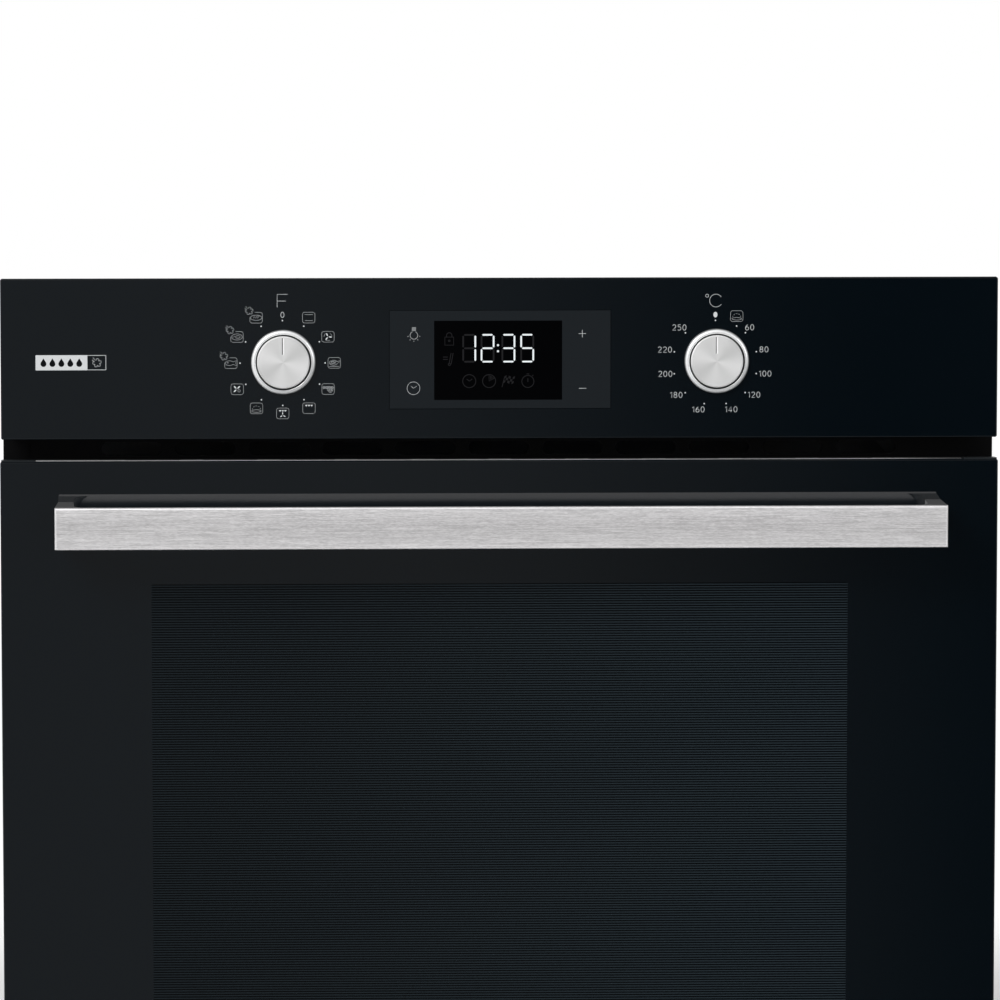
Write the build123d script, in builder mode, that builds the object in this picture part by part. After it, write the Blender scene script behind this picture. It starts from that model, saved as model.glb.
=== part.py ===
from build123d import *
import os

# A built-in wall oven, in millimetres. X runs to the right, Y to the back and Z up.
# Y is 0 on the cabinet's front edges, and Z is 0 on the shelf that the oven stands on.

# Front and casing
FRONT_W = 595.0
FASCIA_W, FASCIA_Z0, FASCIA_Z1 = 593.5, 499.3, 595.0
FACE_Y = -26.0
GLASS_T = 4.0
CORNER_R, FRONT_CORNER_R = 2.0, 1.2
EDGE_R = 0.6
CASE_W, CASE_H, CASE_D = 556.0, 572.0, 515.0
REAR_H, STEP_Y = 554.0, 150.0
SHEET = 1.2
FIT, CLEAR = 0.2, 1.0
LIP = 14.0

# Front frame, with side flanges that lie on the cabinet's edges
FRAME_Z0, FRAME_Z1 = 1.0, 500.0
SEAL_Y = -3.0
SEAL_BACK = SEAL_Y + SHEET
JOGGLE_X, FLANGE_X = 280.2, 296.5
SCREW_X, SCREW_Z, SCREW_SPAN, SCREW_HOLE_R = 287.0, 280.0, 300.0, 2.5
OUTLET_Z, OUTLET_W, OUTLET_H, OUTLET_PITCH, OUTLET_COUNT = 491.5, 36.0, 8.0, 44.0, 11

# Cavity
CAVITY_W, CAVITY_H, CAVITY_Z = 470.0, 345.0, 264.5
CAVITY_R, REAR_R = 22.0, 14.0
CAVITY_FLOOR = CAVITY_Z - CAVITY_H / 2
CAVITY_BACK = 410.0
LINER_LIP = 11.0
BASIN_W, BASIN_L, BASIN_Y, BASIN_R, BASIN_DEPTH, BASIN_TAPER = 270.0, 180.0, 190.0, 30.0, 6.0, 40.0
GASKET_IN, GASKET_OUT, GASKET_ROUND, GASKET_GAP = 3.0, 12.0, 2.0, 0.3
WRAP_T, WRAP_Z0, WRAP_INNER_Z0, WRAP_Y0, WRAP_Y1 = 25.0, 48.0, 64.0, 2.0, 408.0
REAR_WOOL_Y0, REAR_WOOL_Y1, REAR_WOOL_Z0, REAR_WOOL_Z1 = 412.0, 437.0, 84.0, 452.0

# Casing detail
RIB_L, RIB_W, RIB_D, RIB_Y, RIB_Z, RIB_PITCH = 330.0, 22.0, 2.0, 240.0, 270.0, 220.0
VENT_L, VENT_W, VENT_PITCH = 30.0, 5.0, 13.0
SIDE_VENTS, SIDE_VENT_Y, SIDE_VENT_Z = 10, 420.0, 520.0
TOP_VENTS, TOP_VENT_Y, TOP_VENT_ROWS, TOP_VENT_STEP = 16, 385.0, 2, 42.0
REAR_VENTS, REAR_VENT_Z, REAR_VENT_ROWS, REAR_VENT_STEP = 12, 250.0, 3, 44.0
SWAGE_W, SWAGE_H, SWAGE_Z, SWAGE_R = 440.0, 330.0, 250.0, 30.0
BASE_WALL = 16.0
TAPPING_R, TAPPING_HEAD_R, TAPPING_HEAD_H, TAPPING_L = 1.9, 4.0, 2.4, 7.0
TAPPING_X, TAPPING_Z, TAPPING_PITCH, TAPPING_COUNT = 269.0, 286.0, 128.0, 5

# Control unit
KNOB_X, KNOB_Z = 129.0, 545.3
BEZEL_R, BEZEL_BORE_R, BEZEL_SLEEVE_R, BEZEL_FRONT, BEZEL_BACK = 19.2, 16.3, 17.8, -29.2, -12.0
BEZEL_ROUND, BEZEL_LIP = 2.0, 0.8
KNOB_R, KNOB_FRONT, KNOB_BACK, KNOB_WALL, KNOB_CAP = 15.6, -30.4, -9.5, 2.0, 4.7
KNOB_BEVEL, BOSS_R, BOSS_BACK = 0.6, 5.6, -8.0
MARK_X0, MARK_X1, MARK_DEPTH, MARK_R0, MARK_R1 = -0.75, 0.4, 0.5, 4.7, 14.6
SHAFT_R, SHAFT_RUN, SHAFT_TIP, SHAFT_END, SHAFT_FLAT, FLAT_BACK = 3.0, 0.06, -25.0, 13.0, 1.0, -9.0
SWITCH_W, SWITCH_BACK, COLLAR_R, COLLAR_FRONT = 34.0, 24.0, 4.4, -6.0
TAG_W, TAG_H, TAG_L, TAG_PITCH = 0.8, 6.3, 8.0, 8.0
LENS_W, LENS_H, LENS_Z = 131.6, 58.5, 546.4
CARRIER_W, CARRIER_Z0, CARRIER_Z1, CARRIER_BACK, CARRIER_WALL = 589.0, 501.0, 593.5, -5.0, 2.0
CARRIER_RIB_X = (-215.0, -85.0, 85.0, 215.0)
MODULE_W, MODULE_H, MODULE_BACK, BOARD_T = 146.0, 70.0, -5.5, 2.0
SCREEN_W, SCREEN_H, SCREEN_X = 80.0, 50.0, -1.4
BRACKET_FOLD = 14.0
PLUG_HOLE_W, PLUG_HOLE_H = 44.0, 16.0

# Cooling air
DUCT_W, DUCT_Z0, DUCT_Z1, DUCT_Y1 = 500.0, 469.0, 498.0, 330.0
BLOWER_Y, BLOWER_Z, SCROLL_R, BLOWER_L = 372.0, 518.0, 34.0, 210.0
THROAT_Z0, THROAT_Z1 = 470.5, 496.5
INTAKE_W, INTAKE_L = 30.0, 180.0
ROTOR_R, ROTOR_L, ROTOR_BLADES, BLADE_DEEP, BLADE_T, BLADE_RAKE = 27.0, 192.0, 24, 8.0, 0.8, 35.0
ROTOR_DISC_T, ROTOR_SHAFT_R, ROTOR_SHAFT_L = 2.0, 3.0, 24.0
STACK_W, STACK_T, COIL_R, COIL_L = 50.0, 16.0, 13.0, 34.0

# Hot air, heaters and lamp
FAN_Z, FAN_R, FAN_DISC_Y, FAN_BLADES, FAN_BLADE_W, FAN_BLADE_L = 255.0, 72.0, 402.0, 12, 18.0, 34.0
FAN_BLADE_T, FAN_RAKE, FAN_HUB_R, FAN_SHAFT_R, FAN_SHAFT_END = 1.2, 25.0, 11.0, 4.0, 436.0
MOTOR_R, MOTOR_Y0, MOTOR_Y1, MOTOR_NECK_R, MOTOR_FLANGE = 40.0, 438.0, 478.0, 14.0, 104.0
COVER_W, COVER_H, COVER_R, COVER_Y, COVER_T, COVER_ROUND = 272.0, 250.0, 34.0, 370.0, 1.0, 8.0
GRILLE_RINGS = ((16.0, 6), (33.0, 12), (50.0, 18))
GRILLE_SLOT_L, GRILLE_SLOT_W = 13.0, 4.6
OUTLETS, OUTLET_STEP, OUTLET_SLOT_L, OUTLET_SLOT_W = 9, 20.0, 20.0, 7.0
ROD_R, ROD_WALL_END, TAIL_X = 3.25, 411.8, 30.0
RING_R, RING_Y, RING_ARC = 92.0, 391.0, 345.0
GRILL_Z, GRILL_BEND, GRILL_LANE, GRILL_SPAN = 424.0, 28.0, 35.0, 175.0
GRILL_FRONT, GRILL_TURN, GRILL_REAR = 85.0, 285.0, 345.0
BOTTOM_Z, BOTTOM_BEND, BOTTOM_SPAN, BOTTOM_FRONT, BOTTOM_REAR = 74.0, 40.0, 150.0, 70.0, 330.0
LAMP_X, LAMP_Z, LAMP_HOLE_R, LAMP_CUP_R, LAMP_CUP_BACK = -190.0, 393.0, 23.0, 22.0, 455.0
CUP_WALL, CUP_FLOOR, CUP_SLOPE, CUP_NECK_L, CUP_NECK_IN = 3.0, 6.0, 4.0, 12.0, 8.0
LAMP_GLASS_R, LAMP_GLASS_T, LAMP_GLASS_FRONT, LAMP_GLASS_SLOPE = 27.0, 2.5, 389.0, 8.0
BULB_R, BULB_FRONT, BULB_NECK_R = 11.0, 404.0, 10.0

# Cavity furniture
WIRE_R, RAIL_R, RACK_X, RAIL_IN, RACK_Y0, RACK_Y1 = 2.5, 2.2, 228.0, 13.0, 32.0, 362.0
RACK_Z0, RACK_Z1, RAIL_LEVELS, RAIL_Z0, RAIL_STEP = 112.0, 412.0, 5, 135.0, 55.0
PEG_Y, PEG_Z, PEG_HOLE_R = (60.0, 334.0), (122.0, 402.0), 3.2
SHELF_LEVEL, SHELF_W, SHELF_WIRE_R, SHELF_BARS, SHELF_BAR_R = 3, 436.0, 3.0, 17, 1.5
SHELF_TIE_R, SHELF_TIE_DROP, SHELF_TIE_L = 2.2, 2.7, 400.0
TRAY_LEVEL, TRAY_W, TRAY_L, TRAY_DEPTH, TRAY_TAPER, TRAY_RIM_W = 1, 404.0, 312.0, 30.0, 10.0, 442.0
TRAY_T, TRAY_RIM_L, TRAY_R, TRAY_ROUND = 1.0, 342.0, 26.0, 6.0
SHELF_Y0, SHELF_Y1 = 14.0, 358.0

# Supply
BOX_X, BOX_Z, BOX_W, BOX_H, BOX_DEEP, BOX_T, BOX_ROUND = 190.0, 505.0, 84.0, 70.0, 22.0, 2.0, 4.0
GLAND_R, GLAND_BORE_R, GLAND_NUT_R, GLAND_DROP, GLAND_NECK = 8.0, 6.0, 10.0, 22.0, 4.0

# Hinges
HINGE_X, PIVOT_Y, PIVOT_Z, PIN_R, PIN_RUN = 262.0, -15.5, 18.0, 3.0, 0.05
CLAW_T, CLAW_R, CLAW_BACK, LEVER_R, LEVER_HALF = 4.0, 6.0, 40.0, 9.0, 4.0
HINGE_SLOT_W, HINGE_SLOT_H = 7.0, 18.0
RECEIVER_W, RECEIVER_Z0, RECEIVER_Z1, RECEIVER_BACK, RECEIVER_T = 13.0, 6.0, 31.0, 46.0, 2.0
CHANNEL_W, CHANNEL_FRONT, CHANNEL_BACK, CHANNEL_Z0, CHANNEL_Z1 = 14.0, -21.5, -9.6, 13.0, 190.0
NOTCH_W, NOTCH_Z1 = 10.0, 33.0
STOP_Z, STOP_T = 60.0, 2.0
PULL_R, PULL_Z0, PULL_HEAD_R, PULL_HEAD_Z, PULL_HEAD_T = 2.5, 34.0, 4.4, 138.4, 3.0
SPRING_R, SPRING_WIRE = 3.7, 0.75

# Door
DOOR_Z0, DOOR_GLASS_Z1, DOOR_BACK = 10.0, 486.0, -8.0
STILE_X0, STILE_X1, STILE_Z0, STILE_Z1, STILE_T = 250.5, 292.0, 14.0, 462.0, 1.5
RAIL_X, RAIL_TOP_X, RAIL_TOP_Z1, RAIL_BOTTOM_Z1 = 250.2, 276.6, 486.0, 40.0
DOOR_SLOTS, DOOR_SLOT_PITCH, DOOR_SLOT_L, DOOR_SLOT_W = 10, 46.0, 34.0, 5.0
INNER_GLASS_W, INNER_GLASS_T, MIDDLE_GLASS_Y, MIDDLE_GLASS_T = 499.6, 4.0, -15.6, 3.0
CAP_X0, CAP_Z0, CAP_Z1, CAP_FALL = 277.0, 462.3, 487.0, 1.2
HANDLE_L, HANDLE_H, HANDLE_Z, HANDLE_OUT, HANDLE_T, HANDLE_ROUND = 528.0, 25.0, 450.0, 40.0, 12.0, 1.2
HANDLE_BACK_R, COPE_DEEP = 9.0, 8.0
POST_W, POST_H, POST_FLARE, POST_TAPER, POST_STRAIGHT = 10.0, 24.0, 10.0, 0.8, 18.0
HANDLE_SCREW_R, HANDLE_SCREW_HEAD_R, HANDLE_SCREW_HEAD_H, HANDLE_SCREW_L = 2.5, 5.0, 3.5, 22.0

pieces = {}


def facing(depth):
    """Upright plane at a depth, drawn as seen from the front: local x is X and local y is Z."""
    return Plane.XZ.offset(-depth)


def across(place):
    """Upright plane at an X place, drawn as seen from the right: local x is Y and local y is Z."""
    return Plane.YZ.offset(place)


def keep(name, part):
    """Files a finished piece under its node name."""
    part.label = name
    pieces[name] = part


# Front frame: a sealing plate round the mouth, stepped back at both sides into the cabinet flanges
with BuildPart() as front_frame:
    flange_w = FLANGE_X - JOGGLE_X + SHEET
    with BuildSketch(Plane.XY.offset(FRAME_Z0)):
        with Locations((0, SEAL_Y + SHEET / 2)):
            Rectangle(2 * JOGGLE_X, SHEET)
        with Locations((SHEET / 2 - JOGGLE_X, SEAL_Y / 2), (JOGGLE_X - SHEET / 2, SEAL_Y / 2)):
            Rectangle(SHEET, -SEAL_Y)
        with Locations((flange_w / 2 - FLANGE_X, -SHEET / 2), (FLANGE_X - flange_w / 2, -SHEET / 2)):
            Rectangle(flange_w, SHEET)
    extrude(amount=FRAME_Z1 - FRAME_Z0)
    with BuildSketch(facing(SEAL_Y)):
        with Locations((0, CAVITY_Z)):
            RectangleRounded(CAVITY_W, CAVITY_H, CAVITY_R)
        with Locations((0, OUTLET_Z)):
            with GridLocations(OUTLET_PITCH, 1, OUTLET_COUNT, 1):
                SlotOverall(OUTLET_W, OUTLET_H)
        with Locations((-HINGE_X, PIVOT_Z), (HINGE_X, PIVOT_Z)):
            Rectangle(HINGE_SLOT_W, HINGE_SLOT_H)
    extrude(amount=-SHEET, mode=Mode.SUBTRACT)
    with BuildSketch(facing(-SHEET)):
        with Locations((0, SCREW_Z)):
            with GridLocations(2 * SCREW_X, SCREW_SPAN, 2, 2):
                Circle(SCREW_HOLE_R)
    extrude(amount=-SHEET, mode=Mode.SUBTRACT)
keep("front_frame", front_frame.part)

# Cavity liner: a pressed box with a water basin in its floor, open at the front
with BuildPart() as cavity_liner:
    with BuildSketch(facing(SEAL_BACK)):
        with Locations((0, CAVITY_Z)):
            RectangleRounded(CAVITY_W + 2 * SHEET, CAVITY_H + 2 * SHEET, CAVITY_R + SHEET)
    extrude(amount=SEAL_BACK - CAVITY_BACK - SHEET)
    fillet(cavity_liner.faces().sort_by(Axis.Y)[-1].edges(), REAR_R + SHEET)
    with BuildSketch(Plane.XY.offset(CAVITY_FLOOR - SHEET)):
        with Locations((0, BASIN_Y)):
            RectangleRounded(BASIN_W, BASIN_L, BASIN_R)
    extrude(amount=-BASIN_DEPTH, taper=BASIN_TAPER)
    offset(amount=-SHEET, openings=cavity_liner.faces().sort_by(Axis.Y)[0])
    with BuildSketch(facing(SEAL_BACK)):
        with Locations((0, CAVITY_Z)):
            RectangleRounded(
                CAVITY_W + 2 * LINER_LIP, CAVITY_H + 2 * LINER_LIP, CAVITY_R + LINER_LIP)
            RectangleRounded(CAVITY_W, CAVITY_H, CAVITY_R, mode=Mode.SUBTRACT)
    extrude(amount=-SHEET)
    with BuildSketch(facing(CAVITY_BACK + 2 * SHEET)):
        with Locations((0, FAN_Z)):
            Circle(2 * FAN_SHAFT_R)
        with Locations((LAMP_X, LAMP_Z)):
            Circle(LAMP_HOLE_R)
        with Locations((0, FAN_Z)):
            with PolarLocations(RING_R, 2, start_angle=90, angular_range=RING_ARC - 360, endpoint=True):
                Circle(ROD_R + CLEAR)
        with Locations((-TAIL_X, GRILL_Z), (TAIL_X, GRILL_Z)):
            Circle(ROD_R + CLEAR)
    extrude(amount=3 * SHEET, mode=Mode.SUBTRACT)
    with BuildSketch(across(0)):
        with Locations([(y, z) for y in PEG_Y for z in PEG_Z]):
            Circle(PEG_HOLE_R)
    extrude(amount=CAVITY_W / 2 + 2 * SHEET, both=True, mode=Mode.SUBTRACT)
keep("cavity_liner", cavity_liner.part)

# Door gasket: a round-fronted rubber ring on the sealing plate
with BuildPart() as door_gasket:
    with BuildSketch(facing(SEAL_Y)):
        with Locations((0, CAVITY_Z)):
            RectangleRounded(
                CAVITY_W + 2 * GASKET_OUT, CAVITY_H + 2 * GASKET_OUT, CAVITY_R + GASKET_OUT)
            RectangleRounded(
                CAVITY_W + 2 * GASKET_IN, CAVITY_H + 2 * GASKET_IN, CAVITY_R + GASKET_IN,
                mode=Mode.SUBTRACT)
    extrude(amount=SEAL_Y - DOOR_BACK - GASKET_GAP)
    fillet(door_gasket.faces().sort_by(Axis.Y)[0].edges(), GASKET_ROUND)
keep("door_gasket", door_gasket.part)

# Side panels: folded sheets, lower behind the control unit, with two swaged ribs and a row of vents
for side, hand in ((-1, "left"), (1, "right")):
    with BuildPart() as side_panel:
        wall_z0 = SHEET + FIT
        wall_z1 = CASE_H - SHEET - FIT
        with BuildSketch(facing(SEAL_BACK + FIT)):
            with Locations((side * (CASE_W - SHEET) / 2, (wall_z0 + wall_z1) / 2)):
                Rectangle(SHEET, wall_z1 - wall_z0)
            with Locations((side * (CASE_W - LIP) / 2, wall_z1 - SHEET / 2)):
                Rectangle(LIP, SHEET)
        extrude(amount=SEAL_BACK + FIT - CASE_D + SHEET + FIT)
        with BuildSketch(facing(CASE_D - SHEET - FIT)):
            with Locations((side * (CASE_W - LIP) / 2, (wall_z0 + wall_z1) / 2)):
                Rectangle(LIP, wall_z1 - wall_z0)
            with Locations((side * TAPPING_X, TAPPING_Z)):
                with GridLocations(1, TAPPING_PITCH, 1, TAPPING_COUNT):
                    Circle(TAPPING_R + FIT, mode=Mode.SUBTRACT)
        extrude(amount=SHEET)
        rear_z1 = REAR_H - SHEET - FIT
        riser_y = STEP_Y - SHEET - FIT
        with BuildSketch(across(side * CASE_W / 2)):
            with Locations((riser_y, rear_z1)):
                Rectangle(CASE_D - riser_y, CASE_H - rear_z1, align=(Align.MIN, Align.MIN))
        extrude(amount=-side * LIP, mode=Mode.SUBTRACT)
        with BuildSketch(Plane.XY.offset(rear_z1)):
            with Locations((side * (CASE_W - LIP) / 2, (riser_y + CASE_D - SHEET - FIT) / 2)):
                Rectangle(LIP, CASE_D - SHEET - FIT - riser_y)
        extrude(amount=-SHEET)
        with BuildSketch(across(side * CASE_W / 2)):
            with Locations((RIB_Y, RIB_Z)):
                with GridLocations(1, RIB_PITCH, 1, 2):
                    SlotOverall(RIB_L + 2 * SHEET, RIB_W + 2 * SHEET)
        extrude(amount=-side * (RIB_D + SHEET))
        with BuildSketch(across(side * CASE_W / 2)):
            with Locations((RIB_Y, RIB_Z)):
                with GridLocations(1, RIB_PITCH, 1, 2):
                    SlotOverall(RIB_L, RIB_W)
        extrude(amount=-side * RIB_D, mode=Mode.SUBTRACT)
        with BuildSketch(across(side * CASE_W / 2)):
            with Locations((SIDE_VENT_Y, SIDE_VENT_Z)):
                with GridLocations(VENT_PITCH, 1, SIDE_VENTS, 1):
                    SlotOverall(VENT_L, VENT_W, rotation=90)
        extrude(amount=-side * 2 * SHEET, mode=Mode.SUBTRACT)
    keep(f"side_panel_{hand}", side_panel.part)

# Top panel, stepped down behind the control unit, with two rows of intake vents over the blower
with BuildPart() as top_panel:
    panel_y0 = SEAL_BACK + FIT
    with BuildSketch(across(0)):
        with BuildLine():
            Polyline(
                (panel_y0, CASE_H), (STEP_Y, CASE_H), (STEP_Y, REAR_H), (CASE_D, REAR_H),
                (CASE_D, REAR_H - SHEET), (STEP_Y - SHEET, REAR_H - SHEET),
                (STEP_Y - SHEET, CASE_H - SHEET), (panel_y0, CASE_H - SHEET), close=True)
        make_face()
    extrude(amount=CASE_W / 2, both=True)
    with BuildSketch(Plane.XY.offset(REAR_H)):
        with Locations((0, TOP_VENT_Y)):
            with GridLocations(VENT_PITCH, TOP_VENT_STEP, TOP_VENTS, TOP_VENT_ROWS):
                SlotOverall(VENT_L, VENT_W, rotation=90)
    extrude(amount=-SHEET, mode=Mode.SUBTRACT)
keep("top_panel", top_panel.part)

# Rear panel, swaged inwards round the motor vents, with the supply box's wire hole
with BuildPart() as rear_panel:
    panel_z0 = SHEET + FIT
    panel_z1 = REAR_H - SHEET - FIT
    with BuildSketch(facing(CASE_D)):
        with Locations((0, (panel_z0 + panel_z1) / 2)):
            Rectangle(CASE_W, panel_z1 - panel_z0)
    extrude(amount=SHEET)
    with BuildSketch(facing(CASE_D)):
        with Locations((0, SWAGE_Z)):
            RectangleRounded(SWAGE_W + 2 * SHEET, SWAGE_H + 2 * SHEET, SWAGE_R + SHEET)
    extrude(amount=RIB_D + SHEET)
    with BuildSketch(facing(CASE_D)):
        with Locations((0, SWAGE_Z)):
            RectangleRounded(SWAGE_W, SWAGE_H, SWAGE_R)
    extrude(amount=RIB_D, mode=Mode.SUBTRACT)
    with BuildSketch(facing(CASE_D)):
        with Locations((0, REAR_VENT_Z)):
            with GridLocations(VENT_PITCH, REAR_VENT_STEP, REAR_VENTS, REAR_VENT_ROWS):
                SlotOverall(VENT_L, VENT_W, rotation=90)
        with Locations((BOX_X, BOX_Z)):
            SlotOverall(BOX_W / 2, BOX_H / 4)
        with Locations((0, TAPPING_Z)):
            with GridLocations(2 * TAPPING_X, TAPPING_PITCH, 2, TAPPING_COUNT):
                Circle(TAPPING_R + FIT)
    extrude(amount=2 * (RIB_D + SHEET), mode=Mode.SUBTRACT)
keep("rear_panel", rear_panel.part)

# Base panel: a shallow tray that the oven stands on
with BuildPart() as base_panel:
    base_w = CASE_W - 2 * SHEET - 2 * FIT
    base_y1 = CASE_D - SHEET - 2 * FIT - SHEET
    with BuildSketch(Plane.XY):
        with Locations((0, (SEAL_BACK + FIT + base_y1) / 2)):
            Rectangle(base_w, base_y1 - SEAL_BACK - FIT)
    extrude(amount=SHEET)
    with BuildSketch(Plane.XY):
        with Locations(((SHEET - base_w) / 2, base_y1 / 2), ((base_w - SHEET) / 2, base_y1 / 2)):
            Rectangle(SHEET, base_y1)
    extrude(amount=BASE_WALL)
keep("base_panel", base_panel.part)

# Casing screws: domed tapping screws that hold the rear panel to the side panels' folds
with BuildPart() as casing_screws:
    with BuildSketch(facing(CASE_D)):
        with Locations((0, TAPPING_Z)):
            with GridLocations(2 * TAPPING_X, TAPPING_PITCH, 2, TAPPING_COUNT):
                Circle(TAPPING_R)
    extrude(amount=TAPPING_L)
    with BuildSketch(facing(CASE_D)):
        with Locations((0, TAPPING_Z)):
            with GridLocations(2 * TAPPING_X, TAPPING_PITCH, 2, TAPPING_COUNT):
                Circle(TAPPING_HEAD_R)
    extrude(amount=-TAPPING_HEAD_H)
    fillet(casing_screws.edges().group_by(Axis.Y)[-1], TAPPING_HEAD_H * 0.6)
keep("casing_screws", casing_screws.part)

# Insulation: a wrap round the cavity that leaves room for the bottom heater, and a rear mat
with BuildPart() as insulation_wrap:
    inner_x = CAVITY_W / 2 + SHEET + CLEAR / 2
    inner_z1 = CAVITY_Z + CAVITY_H / 2 + SHEET + CLEAR / 2
    outer_z1 = inner_z1 + WRAP_T
    with BuildSketch(facing(WRAP_Y0)):
        with Locations((0, (WRAP_Z0 + outer_z1) / 2)):
            RectangleRounded(2 * (inner_x + WRAP_T), outer_z1 - WRAP_Z0, CAVITY_R + WRAP_T)
        with Locations((0, (WRAP_INNER_Z0 + inner_z1) / 2)):
            RectangleRounded(2 * inner_x, inner_z1 - WRAP_INNER_Z0, CAVITY_R, mode=Mode.SUBTRACT)
    extrude(amount=WRAP_Y0 - WRAP_Y1)
keep("insulation_wrap", insulation_wrap.part)

with BuildPart() as insulation_rear:
    with BuildSketch(facing(REAR_WOOL_Y0)):
        with Locations((0, (REAR_WOOL_Z0 + REAR_WOOL_Z1) / 2)):
            RectangleRounded(CAVITY_W, REAR_WOOL_Z1 - REAR_WOOL_Z0, CAVITY_R)
        with Locations((0, FAN_Z)):
            Circle(MOTOR_NECK_R + 2 * CLEAR, mode=Mode.SUBTRACT)
        with Locations((LAMP_X, LAMP_Z)):
            Circle(LAMP_GLASS_R, mode=Mode.SUBTRACT)
    extrude(amount=REAR_WOOL_Y0 - REAR_WOOL_Y1)
keep("insulation_rear", insulation_rear.part)

# Control fascia: black glass with two knob holes and the display's window
with BuildPart() as control_fascia:
    with BuildSketch(facing(FACE_Y + GLASS_T)):
        with Locations((0, (FASCIA_Z0 + FASCIA_Z1) / 2)):
            RectangleRounded(FASCIA_W, FASCIA_Z1 - FASCIA_Z0, FRONT_CORNER_R)
        with Locations((-KNOB_X, KNOB_Z), (KNOB_X, KNOB_Z)):
            Circle(BEZEL_SLEEVE_R + FIT, mode=Mode.SUBTRACT)
        with Locations((0, LENS_Z)):
            Rectangle(LENS_W + 2 * FIT, LENS_H + 2 * FIT, mode=Mode.SUBTRACT)
    extrude(amount=GLASS_T)
    fillet(control_fascia.faces().sort_by(Axis.Y)[0].outer_wire().edges(), EDGE_R)
keep("control_fascia", control_fascia.part)

# Display lens, flush in the fascia
with BuildPart() as display_lens:
    with BuildSketch(facing(FACE_Y + GLASS_T)):
        with Locations((0, LENS_Z)):
            Rectangle(LENS_W, LENS_H)
    extrude(amount=GLASS_T)
    chamfer(display_lens.faces().sort_by(Axis.Y)[0].edges(), FIT)
keep("display_lens", display_lens.part)

# Fascia carrier: a ribbed moulding behind the fascia, open at the back
with BuildPart() as fascia_carrier:
    carrier_h = CARRIER_Z1 - CARRIER_Z0
    carrier_z = (CARRIER_Z0 + CARRIER_Z1) / 2
    carrier_front = FACE_Y + GLASS_T
    with BuildSketch(facing(carrier_front)):
        with Locations((0, carrier_z)):
            RectangleRounded(CARRIER_W, carrier_h, CORNER_R)
    extrude(amount=carrier_front - CARRIER_BACK)
    with BuildSketch(facing(CARRIER_BACK)):
        with Locations((0, carrier_z)):
            Rectangle(CARRIER_W - 2 * CARRIER_WALL, carrier_h - 2 * CARRIER_WALL)
    extrude(amount=CARRIER_BACK - carrier_front - CARRIER_WALL, mode=Mode.SUBTRACT)
    for rib_x in CARRIER_RIB_X:
        with BuildSketch(across(rib_x - CARRIER_WALL / 2)):
            with Locations(((carrier_front + CARRIER_BACK) / 2, CARRIER_Z0 + carrier_h / 12)):
                Rectangle(CARRIER_BACK - carrier_front, carrier_h / 6)
            with Locations(((carrier_front + CARRIER_BACK) / 2, CARRIER_Z1 - carrier_h / 12)):
                Rectangle(CARRIER_BACK - carrier_front, carrier_h / 6)
        extrude(amount=CARRIER_WALL)
    with BuildSketch(facing(carrier_front)):
        with Locations((-KNOB_X, KNOB_Z), (KNOB_X, KNOB_Z)):
            Circle(BEZEL_SLEEVE_R + 2 * FIT)
        with Locations((SCREEN_X, LENS_Z)):
            Rectangle(SCREEN_W + 2 * FIT, SCREEN_H + 2 * FIT)
    extrude(amount=-CARRIER_WALL, mode=Mode.SUBTRACT)
keep("fascia_carrier", fascia_carrier.part)

# Display module: a circuit board with its screen block, plug socket and components
with BuildPart() as display_module:
    board_y = carrier_front + CARRIER_WALL + FIT
    with BuildSketch(facing(board_y)):
        with Locations((0, LENS_Z)):
            Rectangle(MODULE_W, MODULE_H)
    extrude(amount=-BOARD_T)
    with BuildSketch(facing(board_y)):
        with Locations((SCREEN_X, LENS_Z)):
            Rectangle(SCREEN_W, SCREEN_H)
    extrude(amount=board_y - FACE_Y - GLASS_T - FIT)
    with BuildSketch(facing(board_y + BOARD_T)):
        with Locations((0, KNOB_Z)):
            Rectangle(PLUG_HOLE_W - 2 * CLEAR, PLUG_HOLE_H - 2 * CLEAR)
        with Locations((-MODULE_W / 3, LENS_Z), (MODULE_W / 3, LENS_Z)):
            Rectangle(PLUG_HOLE_H, MODULE_H / 2)
    extrude(amount=board_y + BOARD_T - MODULE_BACK)
keep("display_module", display_module.part)

# Control bracket: the sheet that carries the two switches
with BuildPart() as control_bracket:
    bracket_z1 = CASE_H - 2 * SHEET - 2 * FIT - FIT
    with BuildSketch(facing(SEAL_BACK)):
        with Locations((0, (FRAME_Z1 + FIT + bracket_z1) / 2)):
            Rectangle(CASE_W - 2 * LIP, bracket_z1 - FRAME_Z1 - FIT)
        with Locations((-KNOB_X, KNOB_Z), (KNOB_X, KNOB_Z)):
            Circle(COLLAR_R + FIT, mode=Mode.SUBTRACT)
        with Locations((0, KNOB_Z)):
            Rectangle(PLUG_HOLE_W, PLUG_HOLE_H, mode=Mode.SUBTRACT)
    extrude(amount=SHEET)
    with BuildSketch(Plane.XY.offset(bracket_z1)):
        with Locations((0, SEAL_Y + BRACKET_FOLD / 2)):
            Rectangle(CASE_W - 2 * LIP, BRACKET_FOLD)
    extrude(amount=-SHEET)
keep("control_bracket", control_bracket.part)

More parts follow.
